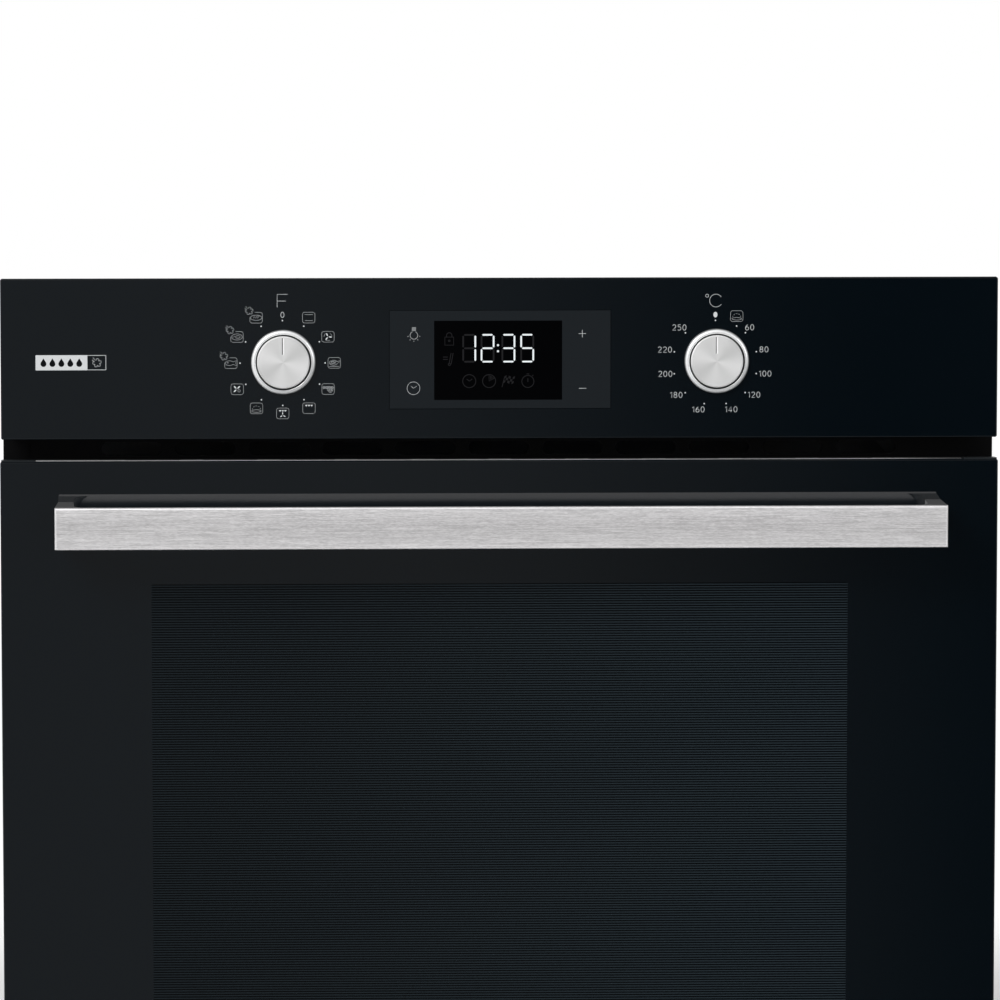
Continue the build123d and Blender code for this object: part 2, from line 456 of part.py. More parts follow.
# Knobs: bezel ring, cap, shaft and switch, once for each side
knob_sets = (
    (-KNOB_X, "left", "selector_switch", "selector_shaft", "selector_knob"),
    (KNOB_X, "right", "thermostat", "thermostat_shaft", "temperature_knob"),
)
for knob_x, hand, switch_name, shaft_name, knob_name in knob_sets:
    turning_axis = Axis((knob_x, 0, KNOB_Z), (0, 1, 0))
    turning_plane = Plane(origin=(knob_x, 0, KNOB_Z), x_dir=(0, 1, 0), z_dir=(1, 0, 0))

    with BuildPart() as knob_bezel:
        with BuildSketch(turning_plane):
            with BuildLine():
                Polyline(
                    (BEZEL_FRONT, BEZEL_BORE_R), (BEZEL_FRONT, BEZEL_R), (FACE_Y, BEZEL_R),
                    (FACE_Y, BEZEL_SLEEVE_R), (BEZEL_BACK, BEZEL_SLEEVE_R), (BEZEL_BACK, BEZEL_BORE_R),
                    close=True)
            make_face()
        revolve(axis=turning_axis)
        rim = knob_bezel.edges().filter_by(GeomType.CIRCLE).group_by(Axis.Y)[0].sort_by(SortBy.RADIUS)
        fillet(rim[-1], BEZEL_ROUND)
        fillet(knob_bezel.edges().filter_by(GeomType.CIRCLE).group_by(Axis.Y)[0].sort_by(
            SortBy.RADIUS)[0], BEZEL_LIP)
    keep(f"knob_bezel_{hand}", knob_bezel.part)

    with BuildPart() as knob:
        cap_back = KNOB_FRONT + KNOB_CAP
        with BuildSketch(turning_plane):
            with BuildLine():
                Polyline(
                    (KNOB_FRONT, 0), (KNOB_FRONT, KNOB_R - KNOB_BEVEL), (KNOB_FRONT + KNOB_BEVEL, KNOB_R),
                    (KNOB_BACK, KNOB_R), (KNOB_BACK, KNOB_R - KNOB_WALL), (cap_back, KNOB_R - KNOB_WALL),
                    (cap_back, BOSS_R), (BOSS_BACK, BOSS_R), (BOSS_BACK, SHAFT_R + SHAFT_RUN),
                    (cap_back + FIT, SHAFT_R + SHAFT_RUN), (cap_back + FIT, 0), close=True)
            make_face()
        revolve(axis=turning_axis)
        with BuildSketch(Plane.XY.offset(KNOB_Z + MARK_R0)):
            with BuildLine():
                Polyline(
                    (knob_x + MARK_X0, KNOB_FRONT), (knob_x + MARK_X0, KNOB_FRONT + MARK_DEPTH),
                    (knob_x + MARK_X1, KNOB_FRONT), close=True)
            make_face()
        extrude(amount=MARK_R1 - MARK_R0, mode=Mode.SUBTRACT)
    keep(knob_name, knob.part)

    with BuildPart() as shaft:
        with BuildSketch(facing(SHAFT_END)):
            with Locations((knob_x, KNOB_Z)):
                Circle(SHAFT_R)
        extrude(amount=SHAFT_END - SHAFT_TIP)
        with BuildSketch(facing(FLAT_BACK)):
            with Locations((knob_x, KNOB_Z + SHAFT_R)):
                Rectangle(2 * SHAFT_R, 2 * SHAFT_FLAT)
        extrude(amount=FLAT_BACK - SHAFT_TIP, mode=Mode.SUBTRACT)
    keep(shaft_name, shaft.part)

    with BuildPart() as switch:
        with BuildSketch(facing(SWITCH_BACK)):
            with Locations((knob_x, KNOB_Z)):
                RectangleRounded(SWITCH_W, SWITCH_W, CORNER_R)
        extrude(amount=SWITCH_BACK - SEAL_BACK)
        with BuildSketch(facing(SEAL_BACK)):
            with Locations((knob_x, KNOB_Z)):
                Circle(COLLAR_R)
        extrude(amount=SEAL_BACK - COLLAR_FRONT)
        with BuildSketch(facing(SHAFT_END + FIT)):
            with Locations((knob_x, KNOB_Z)):
                Circle(SHAFT_R + SHAFT_RUN)
        extrude(amount=SHAFT_END + FIT - COLLAR_FRONT, mode=Mode.SUBTRACT)
        with BuildSketch(facing(SWITCH_BACK)):
            with Locations((knob_x, KNOB_Z)):
                with GridLocations(TAG_PITCH, 2 * TAG_PITCH, 4, 2):
                    Rectangle(TAG_W, TAG_H)
        extrude(amount=-TAG_L)
    keep(switch_name, switch.part)

# Air duct over the insulation, open at both ends
with BuildPart() as air_duct:
    duct_h = DUCT_Z1 - DUCT_Z0
    with BuildSketch(facing(SEAL_BACK + FIT)):
        with Locations((0, (DUCT_Z0 + DUCT_Z1) / 2)):
            Rectangle(DUCT_W, duct_h)
            Rectangle(DUCT_W - 2 * SHEET, duct_h - 2 * SHEET, mode=Mode.SUBTRACT)
    extrude(amount=SEAL_BACK + FIT - DUCT_Y1)
keep("air_duct", air_duct.part)

# Blower housing: a scroll round the rotor, with its throat into the duct and an intake on top
with BuildPart() as blower_housing:
    throat_y0 = DUCT_Y1 + FIT
    throat_z = (THROAT_Z0 + THROAT_Z1) / 2
    with BuildSketch(across(0)):
        with Locations((BLOWER_Y, BLOWER_Z)):
            Circle(SCROLL_R)
        with Locations(((throat_y0 + BLOWER_Y) / 2, throat_z)):
            Rectangle(BLOWER_Y - throat_y0, THROAT_Z1 - THROAT_Z0)
    extrude(amount=BLOWER_L / 2, both=True)
    with BuildSketch(across(0)):
        with Locations((BLOWER_Y, BLOWER_Z)):
            Circle(SCROLL_R - SHEET)
        with Locations(((throat_y0 + BLOWER_Y) / 2 - SHEET, throat_z)):
            Rectangle(BLOWER_Y - throat_y0, THROAT_Z1 - THROAT_Z0 - 2 * SHEET)
    extrude(amount=BLOWER_L / 2 - SHEET, both=True, mode=Mode.SUBTRACT)
    with BuildSketch(Plane.XY.offset(BLOWER_Z)):
        with Locations((0, BLOWER_Y + INTAKE_W / 2)):
            RectangleRounded(INTAKE_L, INTAKE_W, CORNER_R)
    extrude(amount=2 * SCROLL_R, mode=Mode.SUBTRACT)
    with BuildSketch(across(BLOWER_L / 2)):
        with Locations((BLOWER_Y, BLOWER_Z)):
            Circle(ROTOR_SHAFT_R + CLEAR)
    extrude(amount=-BLOWER_L, mode=Mode.SUBTRACT)
keep("blower_housing", blower_housing.part)

# Blower rotor: raked blades between two end discs
with BuildPart() as blower_rotor:
    with BuildSketch(across(-ROTOR_L / 2)):
        with Locations((BLOWER_Y, BLOWER_Z)):
            with PolarLocations(ROTOR_R - BLADE_DEEP / 2 - CLEAR / 2, ROTOR_BLADES):
                Rectangle(BLADE_DEEP, BLADE_T, rotation=BLADE_RAKE)
    extrude(amount=ROTOR_L)
    for disc_x in (-ROTOR_L / 2, -ROTOR_DISC_T / 2, ROTOR_L / 2 - ROTOR_DISC_T):
        with BuildSketch(across(disc_x)):
            with Locations((BLOWER_Y, BLOWER_Z)):
                Circle(ROTOR_R)
        extrude(amount=ROTOR_DISC_T)
    with BuildSketch(across(-BLOWER_L / 2)):
        with Locations((BLOWER_Y, BLOWER_Z)):
            Circle(ROTOR_SHAFT_R)
    extrude(amount=BLOWER_L + ROTOR_SHAFT_L)
keep("blower_rotor", blower_rotor.part)

# Blower motor: a laminated stack with its coil, beside the housing
with BuildPart() as blower_motor:
    stack_x = BLOWER_L / 2 + FIT
    with BuildSketch(across(stack_x)):
        with Locations((BLOWER_Y, BLOWER_Z)):
            RectangleRounded(STACK_W, STACK_W, 2 * CORNER_R)
    extrude(amount=STACK_T)
    with BuildSketch(across(stack_x + STACK_T)):
        with Locations((BLOWER_Y, BLOWER_Z)):
            Circle(STACK_W / 4)
    extrude(amount=STACK_T / 2)
    with BuildSketch(across(stack_x)):
        with Locations((BLOWER_Y, BLOWER_Z)):
            Circle(ROTOR_SHAFT_R + PIN_RUN)
    extrude(amount=2 * STACK_T, mode=Mode.SUBTRACT)
    with BuildSketch(Plane.XZ.offset(-BLOWER_Y - STACK_W / 2 + COIL_R / 2)):
        with Locations((stack_x + STACK_T / 2 + COIL_R / 4, BLOWER_Z)):
            RectangleRounded(STACK_T + COIL_R / 2, COIL_L, 2 * CORNER_R)
    extrude(amount=-COIL_R)
keep("blower_motor", blower_motor.part)

# Convection fan: bent blades on a disc, with the shaft to its motor
with BuildPart() as convection_fan:
    with BuildSketch(facing(FAN_DISC_Y)):
        with Locations((0, FAN_Z)):
            Circle(FAN_R - FAN_BLADE_L / 2)
    extrude(amount=-FAN_BLADE_T)
    with BuildSketch(facing(FAN_DISC_Y + FAN_BLADE_T)):
        with Locations((0, FAN_Z)):
            with PolarLocations(FAN_R - FAN_BLADE_L / 2, FAN_BLADES):
                Rectangle(FAN_BLADE_L, FAN_BLADE_T, rotation=FAN_RAKE)
    extrude(amount=FAN_BLADE_W)
    with BuildSketch(facing(FAN_DISC_Y)):
        with Locations((0, FAN_Z)):
            RegularPolygon(FAN_HUB_R, 6)
    extrude(amount=FAN_BLADE_W / 2)
    with BuildSketch(facing(FAN_SHAFT_END)):
        with Locations((0, FAN_Z)):
            Circle(FAN_SHAFT_R)
    extrude(amount=FAN_SHAFT_END - FAN_DISC_Y)
keep("convection_fan", convection_fan.part)

# Fan motor: neck, mounting flange and finned can behind the rear insulation
with BuildPart() as fan_motor:
    with BuildSketch(facing(MOTOR_Y0)):
        with Locations((0, FAN_Z)):
            RectangleRounded(MOTOR_FLANGE, MOTOR_FLANGE, CAVITY_R)
    extrude(amount=-2 * SHEET)
    with BuildSketch(facing(MOTOR_Y0)):
        with Locations((0, FAN_Z)):
            Circle(MOTOR_NECK_R)
    extrude(amount=MOTOR_Y0 - REAR_WOOL_Y0)
    with BuildSketch(facing(MOTOR_Y0)):
        with Locations((0, FAN_Z)):
            Circle(MOTOR_R)
    extrude(amount=MOTOR_Y0 - MOTOR_Y1)
    fillet(fan_motor.edges().group_by(Axis.Y)[-1], 2 * CORNER_R)
    with BuildSketch(facing(FAN_SHAFT_END + FIT)):
        with Locations((0, FAN_Z)):
            Circle(FAN_SHAFT_R + PIN_RUN)
    extrude(amount=FAN_SHAFT_END + FIT - REAR_WOOL_Y0, mode=Mode.SUBTRACT)
keep("fan_motor", fan_motor.part)

# Fan cover: a dished plate with rings of intake slots and rows of outlets in its rim
with BuildPart() as fan_cover:
    cover_depth = CAVITY_BACK - FIT - COVER_Y
    with BuildSketch(facing(CAVITY_BACK - FIT)):
        with Locations((0, FAN_Z)):
            RectangleRounded(COVER_W, COVER_H, COVER_R)
    extrude(amount=cover_depth)
    fillet(fan_cover.faces().sort_by(Axis.Y)[0].edges(), COVER_ROUND)
    offset(amount=-COVER_T, openings=fan_cover.faces().sort_by(Axis.Y)[-1])
    with BuildSketch(facing(COVER_Y)):
        with Locations((0, FAN_Z)):
            for ring_r, slots in GRILLE_RINGS:
                with PolarLocations(ring_r, slots):
                    SlotOverall(GRILLE_SLOT_L, GRILLE_SLOT_W)
    extrude(amount=-2 * COVER_T, mode=Mode.SUBTRACT)
    with BuildSketch(across(0)):
        with Locations(((COVER_Y + COVER_ROUND + CAVITY_BACK) / 2, FAN_Z)):
            with GridLocations(1, OUTLET_STEP, 1, OUTLETS):
                SlotOverall(OUTLET_SLOT_L, OUTLET_SLOT_W)
    extrude(amount=COVER_W / 2 + CLEAR, both=True, mode=Mode.SUBTRACT)
keep("fan_cover", fan_cover.part)

# Ring heater round the convection fan, with its two ends through the rear wall
with BuildPart() as ring_element:
    with BuildSketch(across(0)):
        with Locations((RING_Y, FAN_Z + RING_R)):
            Circle(ROD_R)
    revolve(axis=Axis((0, 0, FAN_Z), (0, -1, 0)), revolution_arc=RING_ARC)
    with BuildSketch(facing(ROD_WALL_END)):
        with Locations((0, FAN_Z)):
            with PolarLocations(RING_R, 2, start_angle=90, angular_range=RING_ARC - 360, endpoint=True):
                Circle(ROD_R)
    extrude(amount=ROD_WALL_END - RING_Y)
keep("ring_element", ring_element.part)

# Grill heater: one bent rod under the cavity's roof
with BuildPart() as grill_element:
    grill_plane = Plane.XY.offset(GRILL_Z)
    lane = GRILL_LANE
    with BuildLine(grill_plane) as grill_path:
        FilletPolyline(
            (-TAIL_X, ROD_WALL_END), (-TAIL_X, GRILL_REAR), (-GRILL_SPAN, GRILL_REAR),
            (-GRILL_SPAN, GRILL_FRONT), (-3 * lane, GRILL_FRONT), (-3 * lane, GRILL_TURN),
            (-lane, GRILL_TURN), (-lane, GRILL_FRONT), (lane, GRILL_FRONT), (lane, GRILL_TURN),
            (3 * lane, GRILL_TURN), (3 * lane, GRILL_FRONT), (GRILL_SPAN, GRILL_FRONT),
            (GRILL_SPAN, GRILL_REAR), (TAIL_X, GRILL_REAR), (TAIL_X, ROD_WALL_END), radius=GRILL_BEND)
    with BuildSketch(Plane(grill_path.line @ 0, z_dir=grill_path.line % 0)):
        Circle(ROD_R)
    sweep(path=grill_path.line)
keep("grill_element", grill_element.part)

# Bottom heater under the cavity's floor
with BuildPart() as bottom_element:
    heater_plane = Plane.XY.offset(BOTTOM_Z)
    with BuildLine(heater_plane) as heater_path:
        FilletPolyline(
            (-TAIL_X, CAVITY_BACK), (-TAIL_X, BOTTOM_REAR), (-BOTTOM_SPAN, BOTTOM_REAR),
            (-BOTTOM_SPAN, BOTTOM_FRONT), (BOTTOM_SPAN, BOTTOM_FRONT), (BOTTOM_SPAN, BOTTOM_REAR),
            (TAIL_X, BOTTOM_REAR), (TAIL_X, CAVITY_BACK), radius=BOTTOM_BEND)
    with BuildSketch(Plane(heater_path.line @ 0, z_dir=heater_path.line % 0)):
        Circle(ROD_R)
    sweep(path=heater_path.line)
keep("bottom_element", bottom_element.part)

# Lamp: ceramic cup behind the rear wall, bulb and domed glass
lamp_axis = Axis((LAMP_X, 0, LAMP_Z), (0, 1, 0))
lamp_plane = Plane(origin=(LAMP_X, 0, LAMP_Z), x_dir=(0, 1, 0), z_dir=(1, 0, 0))
with BuildPart() as lamp_holder:
    cup_front = CAVITY_BACK - 2 * CLEAR
    cup_floor = LAMP_CUP_BACK - CUP_FLOOR
    neck_front = LAMP_CUP_BACK - CUP_NECK_L
    neck_r = LAMP_CUP_R - CUP_NECK_IN
    with BuildSketch(lamp_plane):
        with BuildLine():
            Polyline(
                (cup_front, LAMP_CUP_R - CUP_WALL), (cup_front, LAMP_CUP_R),
                (neck_front - CUP_SLOPE, LAMP_CUP_R), (neck_front, neck_r), (LAMP_CUP_BACK, neck_r),
                (LAMP_CUP_BACK, 0), (cup_floor, 0), (cup_floor, neck_r - CUP_WALL),
                (neck_front - CUP_FLOOR, neck_r - CUP_WALL),
                (neck_front - CUP_FLOOR - CUP_SLOPE, LAMP_CUP_R - CUP_WALL), close=True)
        make_face()
    revolve(axis=lamp_axis)
keep("lamp_holder", lamp_holder.part)

with BuildPart() as lamp_bulb:
    bulb_back = cup_floor - FIT
    with BuildSketch(lamp_plane):
        with BuildLine():
            Line((BULB_FRONT, 0), (bulb_back, 0))
            Line((bulb_back, 0), (bulb_back, BULB_NECK_R))
            Line((bulb_back, BULB_NECK_R), (BULB_FRONT + 2 * BULB_R, BULB_NECK_R))
            Line((BULB_FRONT + 2 * BULB_R, BULB_NECK_R), (BULB_FRONT + BULB_R, BULB_R))
            RadiusArc((BULB_FRONT + BULB_R, BULB_R), (BULB_FRONT, 0), BULB_R)
        make_face()
    revolve(axis=lamp_axis)
keep("lamp_bulb", lamp_bulb.part)

with BuildPart() as lamp_glass:
    glass_back = CAVITY_BACK - FIT
    slope_back = LAMP_GLASS_FRONT + LAMP_GLASS_SLOPE
    with BuildSketch(lamp_plane):
        with BuildLine():
            Polyline(
                (LAMP_GLASS_FRONT, 0), (LAMP_GLASS_FRONT, LAMP_GLASS_R - LAMP_GLASS_SLOPE),
                (slope_back, LAMP_GLASS_R), (glass_back, LAMP_GLASS_R),
                (glass_back, LAMP_GLASS_R - LAMP_GLASS_T), (slope_back, LAMP_GLASS_R - LAMP_GLASS_T),
                (LAMP_GLASS_FRONT + LAMP_GLASS_T, LAMP_GLASS_R - LAMP_GLASS_SLOPE - LAMP_GLASS_T / 2),
                (LAMP_GLASS_FRONT + LAMP_GLASS_T, 0), close=True)
        make_face()
    revolve(axis=lamp_axis)
    fillet(lamp_glass.edges().filter_by(GeomType.CIRCLE).group_by(Axis.Y)[0], 3 * CORNER_R)
keep("lamp_glass", lamp_glass.part)

# Side racks: a wire frame with bent rails, on pegs in the cavity's walls
for side, hand in ((-1, "left"), (1, "right")):
    with BuildPart() as side_rack:
        frame_x = side * RACK_X
        rail_x = side * (RACK_X - RAIL_IN)
        with BuildLine(across(frame_x)) as frame_path:
            FilletPolyline(
                (RACK_Y0, RACK_Z0), (RACK_Y1, RACK_Z0), (RACK_Y1, RACK_Z1), (RACK_Y0, RACK_Z1),
                radius=4 * WIRE_R, close=True)
        with BuildSketch(Plane(frame_path.line @ 0, z_dir=frame_path.line % 0)):
            Circle(WIRE_R)
        sweep(path=frame_path.line)
        for level in range(RAIL_LEVELS):
            rail_z = RAIL_Z0 + level * RAIL_STEP
            with BuildLine(Plane.XY.offset(rail_z)) as rail_path:
                FilletPolyline(
                    (frame_x, RACK_Y0), (rail_x, RACK_Y0), (rail_x, RACK_Y1), (frame_x, RACK_Y1),
                    radius=2.4 * RAIL_R)
            with BuildSketch(Plane(rail_path.line @ 0, z_dir=rail_path.line % 0)):
                Circle(RAIL_R)
            sweep(path=rail_path.line)
        with BuildSketch(across(side * (CAVITY_W / 2 + SHEET))):
            with Locations([(y, z) for y in PEG_Y for z in PEG_Z]):
                Circle(WIRE_R)
        extrude(amount=-side * (CAVITY_W / 2 + SHEET - RACK_X + WIRE_R / 2))
        with BuildSketch(across(frame_x - WIRE_R / 2)):
            with Locations([(y, (RACK_Z0 + RACK_Z1) / 2) for y in PEG_Y]):
                Rectangle(2 * WIRE_R, RACK_Z1 - RACK_Z0)
        extrude(amount=WIRE_R)
    keep(f"side_rack_{hand}", side_rack.part)

# Wire shelf on the fourth pair of rails
with BuildPart() as wire_shelf:
    shelf_z = RAIL_Z0 + SHELF_LEVEL * RAIL_STEP + RAIL_R + SHELF_WIRE_R + FIT
    with BuildLine(Plane.XY.offset(shelf_z)) as shelf_path:
        FilletPolyline(
            (-SHELF_W / 2, SHELF_Y0), (SHELF_W / 2, SHELF_Y0), (SHELF_W / 2, SHELF_Y1),
            (-SHELF_W / 2, SHELF_Y1), radius=6 * SHELF_WIRE_R, close=True)
    with BuildSketch(Plane(shelf_path.line @ 0, z_dir=shelf_path.line % 0)):
        Circle(SHELF_WIRE_R)
    sweep(path=shelf_path.line)
    with BuildSketch(facing(SHELF_Y1)):
        with Locations((0, shelf_z)):
            with GridLocations(SHELF_W / (SHELF_BARS + 1), 1, SHELF_BARS, 1):
                Circle(SHELF_BAR_R)
    extrude(amount=SHELF_Y1 - SHELF_Y0)
    with BuildSketch(across(-SHELF_TIE_L / 2)):
        with Locations(
                (SHELF_Y0 + (SHELF_Y1 - SHELF_Y0) / 3, shelf_z - SHELF_TIE_DROP),
                (SHELF_Y0 + (SHELF_Y1 - SHELF_Y0) * 2 / 3, shelf_z - SHELF_TIE_DROP)):
            Circle(SHELF_TIE_R)
    extrude(amount=SHELF_TIE_L)
keep("wire_shelf", wire_shelf.part)

# Baking tray on the second pair of rails: drawn sides, rounded floor and a flat rim
rim_z = RAIL_Z0 + TRAY_LEVEL * RAIL_STEP + RAIL_R + FIT
tray_y = (SHELF_Y0 + SHELF_Y1) / 2
with BuildPart() as tray_hollow:
    with BuildSketch(Plane.XY.offset(rim_z + TRAY_T)):
        with Locations((0, tray_y)):
            RectangleRounded(TRAY_W - 2 * TRAY_T, TRAY_L - 2 * TRAY_T, TRAY_R - TRAY_T)
    extrude(amount=TRAY_T - TRAY_DEPTH, taper=TRAY_TAPER)
    fillet(tray_hollow.faces().sort_by(Axis.Z)[0].edges(), TRAY_ROUND - TRAY_T)

with BuildPart() as baking_tray:
    with BuildSketch(Plane.XY.offset(rim_z + TRAY_T)):
        with Locations((0, tray_y)):
            RectangleRounded(TRAY_W, TRAY_L, TRAY_R)
    extrude(amount=-TRAY_DEPTH, taper=TRAY_TAPER)
    fillet(baking_tray.faces().sort_by(Axis.Z)[0].edges(), TRAY_ROUND)
    with BuildSketch(Plane.XY.offset(rim_z)):
        with Locations((0, tray_y)):
            RectangleRounded(TRAY_RIM_W, TRAY_RIM_L, TRAY_R + TRAY_T)
    extrude(amount=TRAY_T)
    add(tray_hollow.part, mode=Mode.SUBTRACT)
keep("baking_tray", baking_tray.part)

# Terminal box on the rear panel, with the cable gland in its lower wall
box_mid_y = CASE_D + FIT + BOX_DEEP / 2
with BuildPart() as terminal_box:
    with BuildSketch(facing(CASE_D + FIT)):
        with Locations((BOX_X, BOX_Z)):
            RectangleRounded(BOX_W, BOX_H, BOX_ROUND)
    extrude(amount=-BOX_DEEP)
    fillet(terminal_box.faces().sort_by(Axis.Y)[-1].edges(), BOX_ROUND)
    offset(amount=-BOX_T, openings=terminal_box.faces().sort_by(Axis.Y)[0])
    with BuildSketch(Plane.XY.offset(BOX_Z - BOX_H / 2)):
        with Locations((BOX_X, box_mid_y)):
            Circle(GLAND_R + FIT / 2)
    extrude(amount=BOX_ROUND, mode=Mode.SUBTRACT)
keep("terminal_box", terminal_box.part)

with BuildPart() as cable_gland:
    gland_top = BOX_Z - BOX_H / 2 + BOX_T + GLAND_NECK
    nut_top = BOX_Z - BOX_H / 2 - FIT
    with BuildSketch(Plane.XY.offset(gland_top)):
        with Locations((BOX_X, box_mid_y)):
            Circle(GLAND_R)
    extrude(amount=nut_top - GLAND_DROP - gland_top)
    with BuildSketch(Plane.XY.offset(nut_top)):
        with Locations((BOX_X, box_mid_y)):
            RegularPolygon(GLAND_NUT_R, 6)
    extrude(amount=-GLAND_DROP / 2)
    fillet(cable_gland.edges().group_by(Axis.Z)[0], CORNER_R / 2)
    with BuildSketch(Plane.XY.offset(gland_top)):
        with Locations((BOX_X, box_mid_y)):
            Circle(GLAND_BORE_R)
    extrude(amount=-2 * GLAND_DROP, mode=Mode.SUBTRACT)
keep("cable_gland", cable_gland.part)

# Hinge receivers behind the front frame
with BuildPart() as hinge_receivers:
    receiver_z = (RECEIVER_Z0 + RECEIVER_Z1) / 2
    receiver_h = RECEIVER_Z1 - RECEIVER_Z0
    for hinge_x in (-HINGE_X, HINGE_X):
        with BuildSketch(facing(SEAL_BACK + FIT)):
            with Locations((hinge_x, receiver_z)):
                RectangleRounded(RECEIVER_W, receiver_h, CORNER_R)
                Rectangle(HINGE_SLOT_W, receiver_h - 2 * RECEIVER_T, mode=Mode.SUBTRACT)
        extrude(amount=SEAL_BACK + FIT - RECEIVER_BACK)
keep("hinge_receivers", hinge_receivers.part)

# Hinge claws: flat arms held in the receivers, each with an eye for the pin and a spring lever
with BuildPart() as hinge_claws:
    for hinge_x in (-HINGE_X, HINGE_X):
        with BuildSketch(across(hinge_x - CLAW_T / 2)):
            with Locations((PIVOT_Y, PIVOT_Z)):
                Circle(CLAW_R)
            with Locations(((PIVOT_Y + CLAW_BACK) / 2, PIVOT_Z)):
                Rectangle(CLAW_BACK - PIVOT_Y, 2 * CLAW_R)
            with Locations((PIVOT_Y, PIVOT_Z + LEVER_R / 2)):
                Rectangle(2 * LEVER_HALF, LEVER_R)
            with Locations((PIVOT_Y, PIVOT_Z + LEVER_R)):
                Circle(LEVER_HALF)
            with Locations((PIVOT_Y, PIVOT_Z)):
                Circle(PIN_R + PIN_RUN, mode=Mode.SUBTRACT)
            with Locations((CLAW_BACK / 2, PIVOT_Z - CLAW_R)):
                Rectangle(2 * CLAW_R, CLAW_R, mode=Mode.SUBTRACT)
        extrude(amount=CLAW_T)
keep("hinge_claws", hinge_claws.part)

# Hinge channels: folded sheets in the door's stiles, with the spring stop across
with BuildPart() as hinge_channels:
    channel_y = (CHANNEL_FRONT + CHANNEL_BACK) / 2
    for hinge_x in (-HINGE_X, HINGE_X):
        with BuildSketch(Plane.XY.offset(CHANNEL_Z0)):
            with Locations((hinge_x, channel_y)):
                Rectangle(CHANNEL_W, CHANNEL_BACK - CHANNEL_FRONT)
            with Locations((hinge_x, channel_y - SHEET)):
                Rectangle(
                    CHANNEL_W - 2 * SHEET, CHANNEL_BACK - CHANNEL_FRONT, mode=Mode.SUBTRACT)
        extrude(amount=CHANNEL_Z1 - CHANNEL_Z0)
        with BuildSketch(Plane.XY.offset(STOP_Z)):
            with Locations((hinge_x, channel_y)):
                Rectangle(CHANNEL_W, CHANNEL_BACK - CHANNEL_FRONT)
            with Locations((hinge_x, PIVOT_Y)):
                Circle(PULL_R + FIT, mode=Mode.SUBTRACT)
        extrude(amount=STOP_T)
        with BuildSketch(facing(CHANNEL_BACK)):
            with Locations((hinge_x, (CHANNEL_Z0 + NOTCH_Z1) / 2)):
                Rectangle(NOTCH_W, NOTCH_Z1 - CHANNEL_Z0)
        extrude(amount=2 * SHEET, mode=Mode.SUBTRACT)
        with BuildSketch(across(hinge_x - CHANNEL_W)):
            with Locations((PIVOT_Y, PIVOT_Z)):
                Circle(PIN_R + PIN_RUN / 2)
        extrude(amount=2 * CHANNEL_W, mode=Mode.SUBTRACT)
keep("hinge_channels", hinge_channels.part)

with BuildPart() as hinge_pins:
    for hinge_x in (-HINGE_X, HINGE_X):
        with BuildSketch(across(hinge_x - CHANNEL_W / 2 - CLEAR)):
            with Locations((PIVOT_Y, PIVOT_Z)):
                Circle(PIN_R)
        extrude(amount=CHANNEL_W + 2 * CLEAR)
keep("hinge_pins", hinge_pins.part)

# Spring rods: pulled down through the stops as the door drops
with BuildPart() as hinge_rods:
    for hinge_x in (-HINGE_X, HINGE_X):
        with BuildSketch(Plane.XY.offset(PULL_Z0)):
            with Locations((hinge_x, PIVOT_Y)):
                Circle(PULL_R)
        extrude(amount=PULL_HEAD_Z + PULL_HEAD_T - PULL_Z0)
        with BuildSketch(Plane.XY.offset(PULL_HEAD_Z)):
            with Locations((hinge_x, PIVOT_Y)):
                Circle(PULL_HEAD_R)
        extrude(amount=PULL_HEAD_T)
keep("hinge_rods", hinge_rods.part)

# Hinge springs round the rods, hidden in the stiles, as plain sleeves
with BuildPart() as hinge_springs:
    for hinge_x in (-HINGE_X, HINGE_X):
        with BuildSketch(Plane.XY.offset(STOP_Z + STOP_T)):
            with Locations((hinge_x, PIVOT_Y)):
                Circle(SPRING_R + SPRING_WIRE)
                Circle(SPRING_R - SPRING_WIRE, mode=Mode.SUBTRACT)
        extrude(amount=PULL_HEAD_Z - STOP_Z - STOP_T)
keep("hinge_springs", hinge_springs.part)

# Door glass: outer pane with the handle's screw holes, middle pane and inner pane
with BuildPart() as door_outer_glass:
    glass_h = DOOR_GLASS_Z1 - DOOR_Z0
    post_mid_x = HANDLE_L / 2 - POST_W / 2
    with BuildSketch(facing(FACE_Y + GLASS_T)):
        with Locations((0, DOOR_Z0 + glass_h / 2)):
            RectangleRounded(FRONT_W, glass_h, FRONT_CORNER_R)
        with Locations((-post_mid_x, HANDLE_Z), (post_mid_x, HANDLE_Z)):
            Circle(HANDLE_SCREW_R + CLEAR / 2, mode=Mode.SUBTRACT)
    extrude(amount=GLASS_T)
    fillet(door_outer_glass.faces().sort_by(Axis.Y)[0].outer_wire().edges(), EDGE_R)
keep("door_outer_glass", door_outer_glass.part)

pane_h = STILE_Z1 - RAIL_BOTTOM_Z1 - 2 * FIT
pane_z = (STILE_Z1 + RAIL_BOTTOM_Z1) / 2
with BuildPart() as door_middle_glass:
    with BuildSketch(facing(MIDDLE_GLASS_Y)):
        with Locations((0, pane_z)):
            Rectangle(INNER_GLASS_W, pane_h)
    extrude(amount=MIDDLE_GLASS_T)
keep("door_middle_glass", door_middle_glass.part)

with BuildPart() as door_inner_glass:
    with BuildSketch(facing(DOOR_BACK)):
        with Locations((0, pane_z)):
            Rectangle(INNER_GLASS_W, pane_h)
    extrude(amount=INNER_GLASS_T)
    chamfer(door_inner_glass.faces().sort_by(Axis.Y)[-1].edges(), EDGE_R)
keep("door_inner_glass", door_inner_glass.part)

